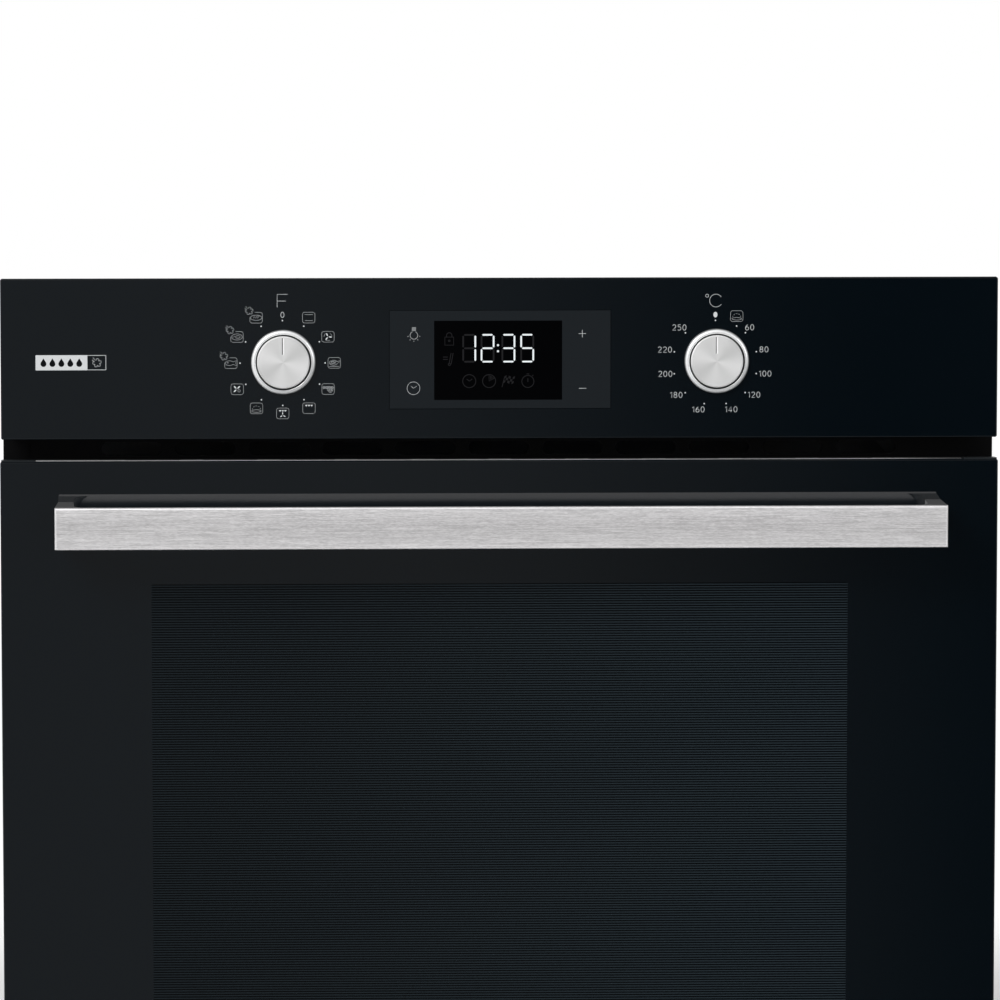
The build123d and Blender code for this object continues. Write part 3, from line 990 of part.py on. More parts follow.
# Door stiles: channels open towards the outer glass, notched for the hinge claws
for side, hand in ((-1, "left"), (1, "right")):
    with BuildPart() as door_stile:
        stile_w = STILE_X1 - STILE_X0
        stile_x = side * (STILE_X0 + STILE_X1) / 2
        stile_front = FACE_Y + GLASS_T
        with BuildSketch(Plane.XY.offset(STILE_Z0)):
            with Locations((stile_x, (stile_front + DOOR_BACK) / 2)):
                Rectangle(stile_w, DOOR_BACK - stile_front)
            with Locations((stile_x, (stile_front + DOOR_BACK) / 2 - STILE_T)):
                Rectangle(stile_w - 2 * STILE_T, DOOR_BACK - stile_front, mode=Mode.SUBTRACT)
        extrude(amount=STILE_Z1 - STILE_Z0)
        fillet(
            door_stile.edges().filter_by(Axis.Z).group_by(Axis.Y)[-1], STILE_T * 0.8)
        with BuildSketch(facing(DOOR_BACK)):
            with Locations((side * HINGE_X, (STILE_Z0 + NOTCH_Z1) / 2)):
                Rectangle(NOTCH_W, NOTCH_Z1 - STILE_Z0)
        extrude(amount=2 * STILE_T, mode=Mode.SUBTRACT)
    keep(f"door_stile_{hand}", door_stile.part)

# Door rails: folded channels above and below the panes, with air slots along them
rail_front = FACE_Y + GLASS_T
rail_mid_y = (rail_front + DOOR_BACK) / 2
rail_deep = DOOR_BACK - rail_front
with BuildPart() as door_top_rail:
    rail_h = RAIL_TOP_Z1 - STILE_Z1
    with BuildSketch(across(-RAIL_TOP_X)):
        with Locations((rail_mid_y, STILE_Z1 + rail_h / 2)):
            Rectangle(rail_deep, rail_h)
        with Locations((rail_mid_y - SHEET, STILE_Z1 + rail_h / 2)):
            Rectangle(rail_deep, rail_h - 2 * SHEET, mode=Mode.SUBTRACT)
    extrude(amount=2 * RAIL_TOP_X)
    with BuildSketch(Plane.XY.offset(STILE_Z1)):
        with Locations((0, rail_mid_y)):
            with GridLocations(DOOR_SLOT_PITCH, 1, DOOR_SLOTS, 1):
                SlotOverall(DOOR_SLOT_L, DOOR_SLOT_W)
    extrude(amount=rail_h, mode=Mode.SUBTRACT)
keep("door_top_rail", door_top_rail.part)

with BuildPart() as door_bottom_rail:
    rail_h = RAIL_BOTTOM_Z1 - STILE_Z0
    with BuildSketch(across(-RAIL_X)):
        with Locations((rail_mid_y, STILE_Z0 + rail_h / 2)):
            Rectangle(rail_deep, rail_h)
        with Locations((rail_mid_y - SHEET, STILE_Z0 + rail_h / 2)):
            Rectangle(rail_deep, rail_h - 2 * SHEET, mode=Mode.SUBTRACT)
    extrude(amount=2 * RAIL_X)
    with BuildSketch(Plane.XY.offset(STILE_Z0)):
        with Locations((0, rail_mid_y)):
            with GridLocations(DOOR_SLOT_PITCH, 1, DOOR_SLOTS, 1):
                SlotOverall(DOOR_SLOT_L, DOOR_SLOT_W)
    extrude(amount=rail_h, mode=Mode.SUBTRACT)
keep("door_bottom_rail", door_bottom_rail.part)

# Door end caps, with a lip over the glass's upper edge and a top that falls to the back
with BuildPart() as door_end_caps:
    cap_x1 = FRONT_W / 2 - EDGE_R
    with BuildSketch(across(CAP_X0)):
        with BuildLine():
            Polyline(
                (rail_front, CAP_Z0), (DOOR_BACK, CAP_Z0), (DOOR_BACK, CAP_Z1 - CAP_FALL), (FACE_Y, CAP_Z1),
                (FACE_Y, DOOR_GLASS_Z1), (rail_front, DOOR_GLASS_Z1), close=True)
        make_face()
    extrude(amount=cap_x1 - CAP_X0)
    fillet(
        door_end_caps.faces().sort_by(Axis.Z)[-1].edges().sort_by(Axis.X)[-1], FRONT_CORNER_R)
    mirror(about=Plane.YZ)
keep("door_end_caps", door_end_caps.part)

# Handle: a flat bar on two flared posts, each with a screw from inside the door
handle_front = FACE_Y - HANDLE_OUT
handle_back = handle_front + HANDLE_T
with BuildPart() as handle_bar:
    with BuildSketch(facing(handle_back)):
        with Locations((0, HANDLE_Z)):
            Rectangle(HANDLE_L, HANDLE_H)
    extrude(amount=HANDLE_T)
    fillet(handle_bar.faces().sort_by(Axis.Y)[-1].edges().filter_by(Axis.X), HANDLE_BACK_R)
    fillet(handle_bar.faces().sort_by(Axis.Y)[0].edges(), HANDLE_ROUND)
keep("handle_bar", handle_bar.part)

with BuildPart() as handle_posts:
    end_x = HANDLE_L / 2
    foot_x0 = end_x - POST_W
    cope_y = handle_back - COPE_DEEP
    with BuildSketch(Plane.XY.offset(HANDLE_Z - POST_H / 2)):
        with BuildLine():
            Line((foot_x0, FACE_Y), (end_x - POST_TAPER, FACE_Y))
            Line((end_x - POST_TAPER, FACE_Y), (end_x, handle_back))
            Polyline((end_x, handle_back), (end_x, cope_y), (foot_x0 - POST_FLARE, cope_y))
            TangentArc(
                (foot_x0, FACE_Y - POST_STRAIGHT), (foot_x0 - POST_FLARE, cope_y),
                tangent=(0, -1), tangent_from_first=True)
            Line((foot_x0, FACE_Y - POST_STRAIGHT), (foot_x0, FACE_Y))
        make_face()
    extrude(amount=POST_H)
    add(handle_bar.part, mode=Mode.SUBTRACT)
    with BuildSketch(facing(FACE_Y)):
        with Locations((post_mid_x, HANDLE_Z)):
            Circle(HANDLE_SCREW_R + FIT / 2)
    extrude(amount=HANDLE_SCREW_L - GLASS_T + CLEAR, mode=Mode.SUBTRACT)
    mirror(about=Plane.YZ)
keep("handle_posts", handle_posts.part)

with BuildPart() as handle_screws:
    screw_seat = FACE_Y + GLASS_T
    with BuildSketch(facing(screw_seat)):
        with Locations((-post_mid_x, HANDLE_Z), (post_mid_x, HANDLE_Z)):
            Circle(HANDLE_SCREW_R)
    extrude(amount=HANDLE_SCREW_L)
    with BuildSketch(facing(screw_seat)):
        with Locations((-post_mid_x, HANDLE_Z), (post_mid_x, HANDLE_Z)):
            Circle(HANDLE_SCREW_HEAD_R)
    extrude(amount=-HANDLE_SCREW_HEAD_H)
    with BuildSketch(facing(screw_seat + HANDLE_SCREW_HEAD_H)):
        with Locations((-post_mid_x, HANDLE_Z), (post_mid_x, HANDLE_Z)):
            RegularPolygon(HANDLE_SCREW_R, 6)
    extrude(amount=HANDLE_SCREW_HEAD_H / 2, mode=Mode.SUBTRACT)
keep("handle_screws", handle_screws.part)

os.makedirs("parts", exist_ok=True)
for name, piece in pieces.items():
    export_step(piece, f"parts/{name}.step")
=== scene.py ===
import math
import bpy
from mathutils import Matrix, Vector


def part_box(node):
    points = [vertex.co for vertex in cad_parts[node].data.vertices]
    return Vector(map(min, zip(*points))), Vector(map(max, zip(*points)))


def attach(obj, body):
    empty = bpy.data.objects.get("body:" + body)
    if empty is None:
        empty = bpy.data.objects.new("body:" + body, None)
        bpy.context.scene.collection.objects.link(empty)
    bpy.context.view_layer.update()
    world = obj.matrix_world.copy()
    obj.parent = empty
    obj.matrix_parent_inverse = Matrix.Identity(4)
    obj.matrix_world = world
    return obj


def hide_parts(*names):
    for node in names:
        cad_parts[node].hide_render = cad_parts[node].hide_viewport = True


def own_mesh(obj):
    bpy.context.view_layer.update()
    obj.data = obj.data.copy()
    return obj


bl_info = {
    "name": "Built-in wall oven",
    "version": (1, 0, 0),
    "blender": (4, 5, 0),
    "location": "View3D > Sidebar > Wall oven",
    "description": "Finishes, dial prints, display and stage of a built-in wall oven",
    "category": "Object",
}

import bpy
from bpy.props import FloatProperty, FloatVectorProperty, PointerProperty, StringProperty
from mathutils import Vector

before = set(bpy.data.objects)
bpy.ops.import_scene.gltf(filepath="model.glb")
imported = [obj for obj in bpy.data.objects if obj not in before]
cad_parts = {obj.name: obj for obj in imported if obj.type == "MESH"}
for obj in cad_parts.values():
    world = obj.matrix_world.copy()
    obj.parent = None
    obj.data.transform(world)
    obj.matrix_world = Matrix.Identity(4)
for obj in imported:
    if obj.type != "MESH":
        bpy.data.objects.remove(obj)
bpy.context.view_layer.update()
MM = 0.001

# Places that the prints are laid out from: the control glass, the display lens and the two knobs
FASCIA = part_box("control_fascia")
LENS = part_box("display_lens")
BEZELS = ("knob_bezel_left", "knob_bezel_right")
KNOBS = {name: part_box(name) for name in ("selector_knob", "temperature_knob")}

# The glass is polished on its front and ground dull on its edges, which start this far behind the front
GROUND_EDGE = 0.01 * MM

# How finely the hinge springs are wound: the sides of their wire and the steps of each turn
WIRE_SIDES, TURN_STEPS = 10, 18

# The knobs' index groove: its ends over the axis, and its left side, fold and right side across; the left
# side is painted dark as shade and the right side light as a painted highlight
GROOVE = (4.7 * MM, 14.6 * MM)
GROOVE_SIDES = (-0.75 * MM, -0.22 * MM, 0.4 * MM)

# The camera's sensor in millimetres, the point that the lamps look at and the middle of the floor
SENSOR = 36.0
LAMP_AIM = Vector((0.0, 0.1, 0.35))
FLOOR_PLACE = (0.0, 0.22, -0.5 * MM)

# How far the middle of the black screen lies from the middle of the lens, to the left and down
SCREEN_LEFT, SCREEN_DOWN = 1.2 * MM, 0.4 * MM


def middle(corners):
    """The middle of a box, given its lowest and highest corners."""
    return (corners[0] + corners[1]) / 2


class Value:
    """One output of a shader node. A sum written with it becomes Math nodes of its finish."""

    def __init__(self, finish, socket):
        self.finish = finish
        self.socket = socket

    def math(self, operation, first, second=0.0):
        return self.finish.node("ShaderNodeMath", {"operation": operation}, {0: first, 1: second})

    def __add__(self, other):
        return self.math("ADD", self, other)

    def __sub__(self, other):
        return self.math("SUBTRACT", self, other)

    def __rsub__(self, other):
        return self.math("SUBTRACT", other, self)

    def __mul__(self, other):
        return self.math("MULTIPLY", self, other)

    def __mod__(self, other):
        return self.math("FLOORED_MODULO", self, other)

    def __lt__(self, other):
        return self.math("LESS_THAN", self, other)

    def __gt__(self, other):
        return self.math("GREATER_THAN", self, other)

    def __abs__(self):
        return self.math("ABSOLUTE", self)

    __radd__ = __add__
    __rmul__ = __mul__

    def rise(self, low, high):
        """Goes smoothly from 0 at low to 1 at high."""
        settings = {"interpolation_type": "SMOOTHSTEP"}
        return self.finish.node("ShaderNodeMapRange", settings, {0: self, 1: low, 2: high})

    def reach(self, other):
        """The distance from an axis, from the distances to its side and along the other way."""
        return self.math("SQRT", self * self + other * other)


class Finish:
    """A material or world being written, with one method that adds any shader node to it."""

    def __init__(self, name, constants=(), world=False):
        self.material = bpy.data.worlds.new(name) if world else bpy.data.materials.new(name)
        self.material.use_nodes = True
        self.tree = self.material.node_tree
        self.shader = self.tree.nodes["Background" if world else "Principled BSDF"]
        for socket, value in dict(constants).items():
            self.feed(socket, value)

    def node(self, kind, settings=(), inputs=(), output=0):
        made = self.tree.nodes.new(kind)
        for name, value in dict(settings).items():
            setattr(made, name, value)
        for place, value in dict(inputs).items():
            self.plug(made.inputs[place], value)
        return Value(self, made.outputs[output])

    def plug(self, socket, value):
        if isinstance(value, Value):
            self.tree.links.new(value.socket, socket)
        elif socket.type == "RGBA" and len(value) == 3:
            socket.default_value = (*value, 1.0)
        else:
            socket.default_value = value

    def feed(self, socket, value):
        """Sets or links one socket of the finish's own shader."""
        self.plug(self.shader.inputs[socket], value)

    def where(self, kind="Object"):
        """Object coordinates, which are the oven's own frame in metres, or a world's directions."""
        return self.node("ShaderNodeTexCoord", output=kind)

    def axes(self, kind="Object"):
        """The X, Y and Z of a point or direction as three values."""
        parts = self.node("ShaderNodeSeparateXYZ", (), {0: self.where(kind)}).socket.node
        return [Value(self, socket) for socket in parts.outputs]

    def spread(self, stretch):
        """Object coordinates for a pattern, drawn out along the axes whose stretch is small."""
        return self.node("ShaderNodeMapping", (), {"Vector": self.where(), "Scale": stretch})

    def noise(self, scale, detail=2.0, stretch=(1.0, 1.0, 1.0)):
        """Cloudy noise between 0 and 1."""
        inputs = {"Vector": self.spread(stretch), "Scale": scale, "Detail": detail}
        return self.node("ShaderNodeTexNoise", (), inputs)

    def cells(self, scale, feature="F1", output="Distance", stretch=(1.0, 1.0, 1.0)):
        """Voronoi cells, for speckles, metal spangle and circuit tracks."""
        inputs = {"Vector": self.spread(stretch), "Scale": scale}
        return self.node("ShaderNodeTexVoronoi", {"feature": feature}, inputs, output)

    def mix(self, factor, under, over):
        """One colour over another."""
        return self.node("ShaderNodeMix", {"data_type": "RGBA"}, {0: factor, 6: under, 7: over}, 2)

    def relief(self, height, strength, distance):
        """Raises fine relief on the surface."""
        inputs = {"Strength": strength, "Distance": distance, "Height": height}
        self.feed("Normal", self.node("ShaderNodeBump", (), inputs))

    def coat_on(self, *names):
        """Puts the finish on CAD nodes."""
        for name in names:
            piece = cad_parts[name]
            if not piece.material_slots:
                piece.data.materials.append(self.material)
            for slot in piece.material_slots:
                slot.material = self.material


def shade(colour, factor):
    """A lighter or darker copy of a colour."""
    return tuple(min(1.0, part * factor) for part in colour)


def tones(colour, dark, light):
    """A darker and a lighter copy of a colour."""
    return shade(colour, dark), shade(colour, light)


def plain_finish(name, constants, noise, colours, roughness, nodes=(), relief=None):
    """A finish of one noise, which mixes two colours, adds to the roughness and may raise relief."""
    finish = Finish(name, constants)
    pattern = finish.noise(*noise)
    finish.feed("Base Color", finish.mix(pattern, *colours))
    finish.feed("Roughness", roughness[0] + roughness[1] * pattern)
    if relief:
        finish.relief(pattern, *relief)
    finish.coat_on(*nodes)
    return finish.material


def colour_property(name, description, default):
    return FloatVectorProperty(name=name, description=description, default=default, size=3, min=0.0, max=1.0,
                               subtype="COLOR")


def length_property(name, description, millimetres):
    return FloatProperty(name=name, description=description, default=millimetres * MM, min=0.0,
                         subtype="DISTANCE", unit="LENGTH")


def angle_property(name, description, degrees):
    return FloatProperty(name=name, description=description, default=math.radians(degrees), subtype="ANGLE")


class OvenFinishSettings(bpy.types.PropertyGroup):
    """Colours of the oven's own materials, the door's window print and the springs' wire"""

    glass: colour_property("Black glass", "Colour of the control and door glass", (0.0013, 0.0034, 0.0054))
    window_ink: colour_property("Window lines", "Colour of the window's fine lines", (0.0180, 0.0262, 0.0322))
    window_gap: colour_property("Window gaps", "Colour between the window's lines", (0.0004, 0.0008, 0.0013))
    window_half_width: length_property("Window half width", "From the middle to the window's edge", 208.0)
    window_top: length_property("Window top", "Height of the window's upper edge", 412.4)
    window_bottom: length_property("Window bottom", "Height of the window's lower edge", 104.0)
    line_pitch: length_property("Line pitch", "Distance between the window's lines", 1.5)
    enamel: colour_property("Cavity enamel", "Colour of the enamelled cavity", (0.048, 0.053, 0.062))
    black_enamel: colour_property("Black enamel", "Colour of the tray and fan cover", (0.022, 0.022, 0.024))
    sheet: colour_property("Galvanised sheet", "Colour of the casing", (0.47, 0.49, 0.51))
    handle: colour_property("Handle", "Colour of the brushed handle bar", (0.736, 0.725, 0.73))
    knob: colour_property("Knob", "Colour of the spun knob caps", (0.93, 0.935, 0.93))
    plastic: colour_property("Plastic", "Colour of the black mouldings", (0.010, 0.010, 0.011))
    spring_wire: length_property("Spring wire", "Thickness of the hinge springs' wire", 1.5)


class OvenPrintSettings(bpy.types.PropertyGroup):
    """Sizes and colour of the prints on the control glass"""

    ink: colour_property("Ink", "Colour of the dial prints", (0.62, 0.64, 0.65))
    proud: length_property("Ink thickness", "How far the ink stands on the glass", 0.05)
    line: length_property("Line", "Width of a dial symbol's lines", 0.155)
    number_line: length_property("Number line", "Width of the lines of the numbers", 0.34)
    key_line: length_property("Key line", "Width of a touch key's lines", 0.235)
    letter_line: length_property("Letter line", "Width of the lines of the dials' letters", 0.28)
    sign_line: length_property("Sign line", "Width of the plus and minus", 0.30)
    dot: length_property("Dot", "Radius of a position dot", 0.43)
    dial: length_property("Dot circle", "Radius of the circle of dots", 25.3)
    symbols: length_property("Symbol circle", "Radius of the circle of symbols", 31.2)


class OvenDisplaySettings(bpy.types.PropertyGroup):
    """The clock and the touch keys"""

    time: StringProperty(name="Time", description="What the clock shows", default="12:35")
    glow: colour_property("Glow", "Colour of a lit segment", (0.88, 0.93, 0.95))
    unlit: colour_property("Unlit", "Colour of an unlit segment", (0.0160, 0.0160, 0.0172))
    digit_height: length_property("Digit height", "Between the middles of the outer segments", 16.0)
    digit_width: length_property("Digit width", "Between the middles of the side segments", 7.2)
    segment: length_property("Segment", "Width of a segment", 1.0)
    screen_width: length_property("Screen width", "Width of the black screen", 76.2)
    screen_height: length_property("Screen height", "Height of the black screen", 47.3)
    lens_grey: colour_property("Lens", "Colour of the lens round the screen", (0.0125, 0.0152, 0.0178))


class OvenStageSettings(bpy.types.PropertyGroup):
    """Camera and light"""

    distance: length_property("Distance", "From the camera to the front", 4000.0)
    azimuth: angle_property("Azimuth", "Camera angle to the right of straight ahead", -1.8)
    elevation: angle_property("Elevation", "Camera angle above level", 6.0)
    aim: FloatVectorProperty(name="Aim", description="Point in the middle of the picture",
                             default=(-0.0001, -0.026, 0.4624), subtype="XYZ", unit="LENGTH")
    view_width: length_property("View width", "Width of the picture at the front", 596.3)
    ambient: FloatProperty(name="Ambient", description="Even light from all round", default=0.62)
    key: FloatProperty(name="Key light", description="Watts of the upper left lamp", default=38.0)
    fill: FloatProperty(name="Fill light", description="Watts of the right lamp", default=9.0)
    floor: colour_property("Floor", "Colour of the floor", (0.93, 0.93, 0.93))
    floor_radius: length_property("Floor radius", "Where the floor has faded out", 1150.0)


def select_only(piece):
    """Leaves one object selected and active."""
    bpy.ops.object.select_all(action="DESELECT")
    piece.select_set(True)
    bpy.context.view_layer.objects.active = piece


def join(name, parts):
    """Makes one named piece of several."""
    select_only(parts[0])
    for part in parts[1:]:
        part.select_set(True)
    bpy.ops.object.join()
    piece = bpy.context.active_object
    piece.name = name
    piece.data.name = name
    return piece


def settle(piece, turn=(0.0, 0.0, 0.0), place=(0.0, 0.0, 0.0), size=(1.0, 1.0, 1.0)):
    """Turns, scales and moves a piece, and puts that into its mesh."""
    select_only(piece)
    piece.rotation_euler = turn
    piece.scale = size
    piece.location = place
    bpy.ops.object.transform_apply(location=True, rotation=True, scale=True)
    return piece


def stand_on_glass(piece, x=0.0, z=0.0, flatten=1.0):
    """Stands a piece that was drawn lying flat upright on the front of the control glass."""
    face = FASCIA[0].y
    return settle(piece, (math.pi / 2, 0.0, 0.0), (x, face, z), (1.0, 1.0, flatten))


def drawn(name, strokes, **settings):
    """Draws strokes, each a list of points in millimetres and whether it closes, as a mesh that lies flat."""
    drawing = bpy.data.curves.new(name, "CURVE")
    for setting, value in settings.items():
        setattr(drawing, setting, value)
    for points, closed in strokes:
        spline = drawing.splines.new("POLY")
        spline.points.add(len(points) - 1)
        for point, (x, z) in zip(spline.points, points):
            point.co = (x * MM, z * MM, 0.0, 1.0)
        spline.use_cyclic_u = closed
    piece = bpy.data.objects.new(name, drawing)
    bpy.context.scene.collection.objects.link(piece)
    select_only(piece)
    bpy.ops.object.convert(target="MESH")
    return bpy.context.active_object


def ink_dot(name, x, z, radius, proud, tall=1.0):
    """A drop of ink: a disc with its middle raised a little."""
    bpy.ops.object.select_all(action="DESELECT")
    bpy.ops.mesh.primitive_circle_add(vertices=20, radius=radius, fill_type="NGON")
    piece = bpy.context.active_object
    piece.name = name
    bpy.ops.object.mode_set(mode="EDIT")
    bpy.ops.mesh.select_all(action="SELECT")
    bpy.ops.mesh.extrude_region_move(TRANSFORM_OT_translate={"value": (0.0, 0.0, proud * 0.6)})
    bpy.ops.mesh.inset(thickness=radius * 0.3, depth=proud * 0.4)
    bpy.ops.object.mode_set(mode="OBJECT")
    settle(piece, size=(1.0, tall, 1.0))
    return stand_on_glass(piece, x, z)


def clock_points(radius, degrees):
    """The place at a clockwise angle from the top of a dial."""
    angle = math.radians(degrees)
    return radius * math.sin(angle), radius * math.cos(angle)


def arc(x, z, radius, start, end, tall=1.0, steps=12):
    """Points along an arc, anticlockwise from the right."""
    angles = [math.radians(start + (end - start) * step / steps) for step in range(steps + 1)]
    return [(x + radius * math.cos(angle), z + radius * tall * math.sin(angle)) for angle in angles]


def ring(x, z, radius, tall=1.0, steps=16):
    """A closed stroke round a point."""
    return arc(x, z, radius, 0, 360 - 360 / steps, tall, steps - 1), True


def line(*points):
    """An open stroke from point to point."""
    return points, False


def moved(strokes, x, z, size=1.0):
    """Strokes at another place and size."""
    return [([(x + px * size, z + pz * size) for px, pz in points], closed) for points, closed in strokes]


def oven_outline(half_w=3.7, half_h=3.2, radius=1.3):
    """The rounded outline that stands for the oven in each symbol."""
    points = []
    for x, z, start in ((1, 1, 0), (-1, 1, 90), (-1, -1, 180), (1, -1, 270)):
        points += arc(x * (half_w - radius), z * (half_h - radius), radius, start, start + 90, steps=4)
    return [(points, True)]


def fan_blades(x, z, radius, blades=3, turn=90):
    """Leaf-shaped blades round a hub, as outlines."""
    leaves = []
    for blade in range(blades):
        angle = math.radians(turn + 360 * blade / blades)
        along = Vector((math.cos(angle), math.sin(angle)))
        beside = Vector((-along.y, along.x))
        outline = [(0.12, 0.0), (0.5, 0.24), (1.08, 0.20), (1.14, -0.06), (0.55, -0.16)]
        leaf = [along * (radius * far) + beside * (radius * wide) for far, wide in outline]
        leaves.append([(x + point.x, z + point.y) for point in leaf])
    return leaves


def grill_teeth(z=2.0):
    """Three small teeth hanging from the roof, as outlines."""
    return [[(tooth - 0.78, z), (tooth, z - 1.1), (tooth + 0.78, z)] for tooth in (-1.6, 0.0, 1.6)]


def rising_dough():
    """A plate with a dotted dome over it."""
    dome = [line(*arc(0.0, -1.0, 2.5, start, start + 17, steps=3)) for start in (12, 48, 84, 120, 154)]
    return dome + [ring(0.0, -1.6, 2.85, 0.27)]


def roast():
    body = line(*arc(-0.4, -0.2, 2.1, 25, 335, 0.62))
    leg = line((1.5, 0.35), (2.6, 1.0), (2.8, 0.5), (1.6, -0.6))
    cuts = [line((x - 0.3, -0.9), (x + 0.3, 0.7)) for x in (-1.6, -0.5, 0.6)]
    return [body, leg, ring(-0.7, -0.1, 0.9, 0.6), line((-2.6, -2.1), (2.6, -2.1))] + cuts


def small_bakes():
    """A row of rolls with three more in front of it."""
    row = [ring(x, 0.9, radius, 0.85, steps=10) for x in (-2.4, -0.8, 0.8, 2.4) for radius in (0.85, 0.4)]
    near = [ring(1.4, -1.1, 1.05, steps=12), ring(1.4, -1.1, 0.5, steps=8)]
    return row + near + [ring(0.0, -0.5, 0.6, steps=8), ring(2.5, -0.4, 0.5, steps=8)]


def steak():
    return [ring(0.0, 0.0, 2.6, 0.58), ring(0.4, 0.0, 1.1, 0.6), line((-1.7, -0.2), (-1.0, 0.5))]


def bread():
    cuts = [line((x - 0.5, -0.3), (x + 0.4, 0.9)) for x in (-0.9, 0.1, 1.1)]
    return [ring(0.0, 0.0, 2.8, 0.46)] + cuts


def fish():
    body = line(*arc(-0.7, 0.0, 2.0, 30, 330, 0.58))
    tail = line((1.0, 0.6), (2.7, 1.3), (2.3, 0.0), (2.7, -1.3), (1.0, -0.6))
    return [body, tail, ring(-1.5, 0.2, 0.25, steps=6)]


def steam_cloud():
    """A puff of steam: five lobes, open at the upper left, where two wisps trail away."""
    puff = []
    for turn in range(10, 267, 64):
        x, z = clock_points(1.7, turn)
        puff += arc(x, z, 0.78, 215 - turn, -35 - turn, steps=9)
    return [line(*puff), line((-2.3, 2.9), (-0.9, 1.4)), line((-2.9, 1.7), (-1.6, 0.7))]


def steamed(food):
    """An outline with its corner left out for the steam, what is cooked, and the steam itself."""
    left, right, low, high, radius = -3.7, 3.7, -3.2, 3.2, 1.3
    outline = [(-0.8, high)] + arc(right - radius, high - radius, radius, 90, 0, steps=4)
    outline += arc(right - radius, low + radius, radius, 0, -90, steps=4)
    outline += arc(left + radius, low + radius, radius, 270, 180, steps=4) + [(left, 0.2)]
    return [line(*outline)] + moved(food, 0.0, 0.0, 1.22) + moved(steam_cloud(), -4.1, 4.1, 0.95)


# Thin round figures, drawn 3.3 mm high, and the room that each takes
NUMERALS = {
    "0": [ring(0.0, 0.0, 0.98, 1.68)],
    "1": [line((-0.75, 1.0), (0.15, 1.65), (0.15, -1.65))],
    "2": [line(*arc(0.0, 0.72, 0.93, 160, -35), (-0.98, -1.65), (1.0, -1.65))],
    "4": [line((0.45, -1.65), (0.45, 1.65), (-1.1, -0.72), (1.05, -0.72))],
    "5": [line((0.8, 1.65), (-0.68, 1.65), (-0.75, 0.28), *arc(-0.1, -0.6, 1.05, 120, -140))],
    "6": [ring(0.0, -0.68, 0.97), line(*arc(1.33, -0.68, 2.3, 180, 112))],
    "8": [ring(0.0, 0.85, 0.80), ring(0.0, -0.75, 0.95, 0.95)],
}
NUMERAL_ROOM = {figure: 1.6 if figure == "1" else 3.05 for figure in NUMERALS}


def numerals(words, x, z):
    """Strokes of a number, centred on a point."""
    edge = x - sum(NUMERAL_ROOM[figure] for figure in words) / 2
    strokes = []
    for figure in words:
        strokes += moved(NUMERALS[figure], edge + NUMERAL_ROOM[figure] / 2, z)
        edge += NUMERAL_ROOM[figure]
    return strokes


# What the selector's symbols show, clockwise from the off position
FUNCTION_SYMBOLS = {
    30: oven_outline() + [line((-2.4, level), (2.4, level)) for level in (1.8, -1.8)],
    60: oven_outline() + [line(*arc(0, 0, 2.35, start, start + 60, steps=5)) for start in (0, 120, 240)],
    90: oven_outline() + moved(roast(), 0.0, 0.3, 1.15),
    120: oven_outline() + small_bakes(),
    150: oven_outline(),
    180: oven_outline(),
    210: oven_outline() + rising_dough(),
    240: oven_outline() + [ring(1.1, -0.9, 0.75, steps=10)],
    270: steamed(fish()),
    300: steamed(steak()),
    330: steamed(bread()),
}
FILLED_SYMBOLS = {
    60: fan_blades(0.0, 0.0, 2.0, turn=110),
    150: grill_teeth(),
    180: grill_teeth() + fan_blades(0.0, -1.1, 1.6),
    240: fan_blades(-0.2, 0.1, 2.2, 4, 40)[:3],
}
# How far the middle of each dial's prints lies from its knob's axis, to the right and up, in millimetres
FUNCTION_SHIFT = (-0.4, -0.6)
HEAT_SHIFT = (-0.8, -1.1)
# Heights over the middle of a dial, and how far some symbols lie inside their circle, in millimetres
OFF_RISE, LETTER_RISE, UNIT_RISE = 28.7, 37.0, 37.1
SYMBOL_INSET = {90: 0.5, 180: 1.1, 270: 0.5}
HEAT_NUMBERS = {
    60: (20.4, 21.1), 80: (29.0, 7.9), 100: (30.0, -6.6), 120: (23.4, -19.2), 140: (9.8, -27.9),
    160: (-9.8, -27.9), 180: (-23.0, -19.2), 200: (-29.8, -6.6), 220: (-30.1, 7.9), 250: (-21.5, 21.1),
}
HEAT_DOTS = [0, 30] + list(range(45, 316, 30))

# Segments of a clock digit, as ends on a grid of half digit widths and heights
SEGMENTS = {
    "a": ((-1, 1), (1, 1)), "b": ((1, 1), (1, 0)), "c": ((1, 0), (1, -1)), "d": ((1, -1), (-1, -1)),
    "e": ((-1, -1), (-1, 0)), "f": ((-1, 0), (-1, 1)), "g": ((-1, 0), (1, 0)),
}
LIT = {
    "0": "abcdef", "1": "bc", "2": "abged", "3": "abgcd", "4": "fgbc", "5": "afgcd", "6": "afgedc",
    "7": "abc", "8": "abcdefg", "9": "abcdfg",
}
DIGIT_PLACES = (-18.4, -7.5, 4.9, 16.1)
CLOCK_HEIGHT, COLON_PLACE = 553.2, -1.3
# The row of symbols under the clock, and where its flag stands
MARK_HEIGHT, FLAG_PLACE = 533.6, 4.9

# The badge: its left end and middle, the size of its pale bar, the width of the box beside it and its drops
BADGE_LEFT, BADGE_Z = -276.0, 545.2
BADGE_BAR, BADGE_BOX, DROP_PITCH = (30.6, 9.0), 11.1, 5.3


def flag_checks(columns=5, rows=3):
    """The dark squares of a waving chequered flag, as outlines."""
    def corner(column, row):
        wave = 0.55 * math.sin(2 * math.pi * column / columns)
        return (-2.2 + 1.24 * column - 0.35 * row, 2.9 + wave - 1.4 * row)

    squares = [(column, row) for column in range(columns) for row in range(rows) if (column + row) % 2 == 0]
    return [[corner(column + right, row + down) for right, down in ((0, 0), (1, 0), (1, 1), (0, 1))]
            for column, row in squares]


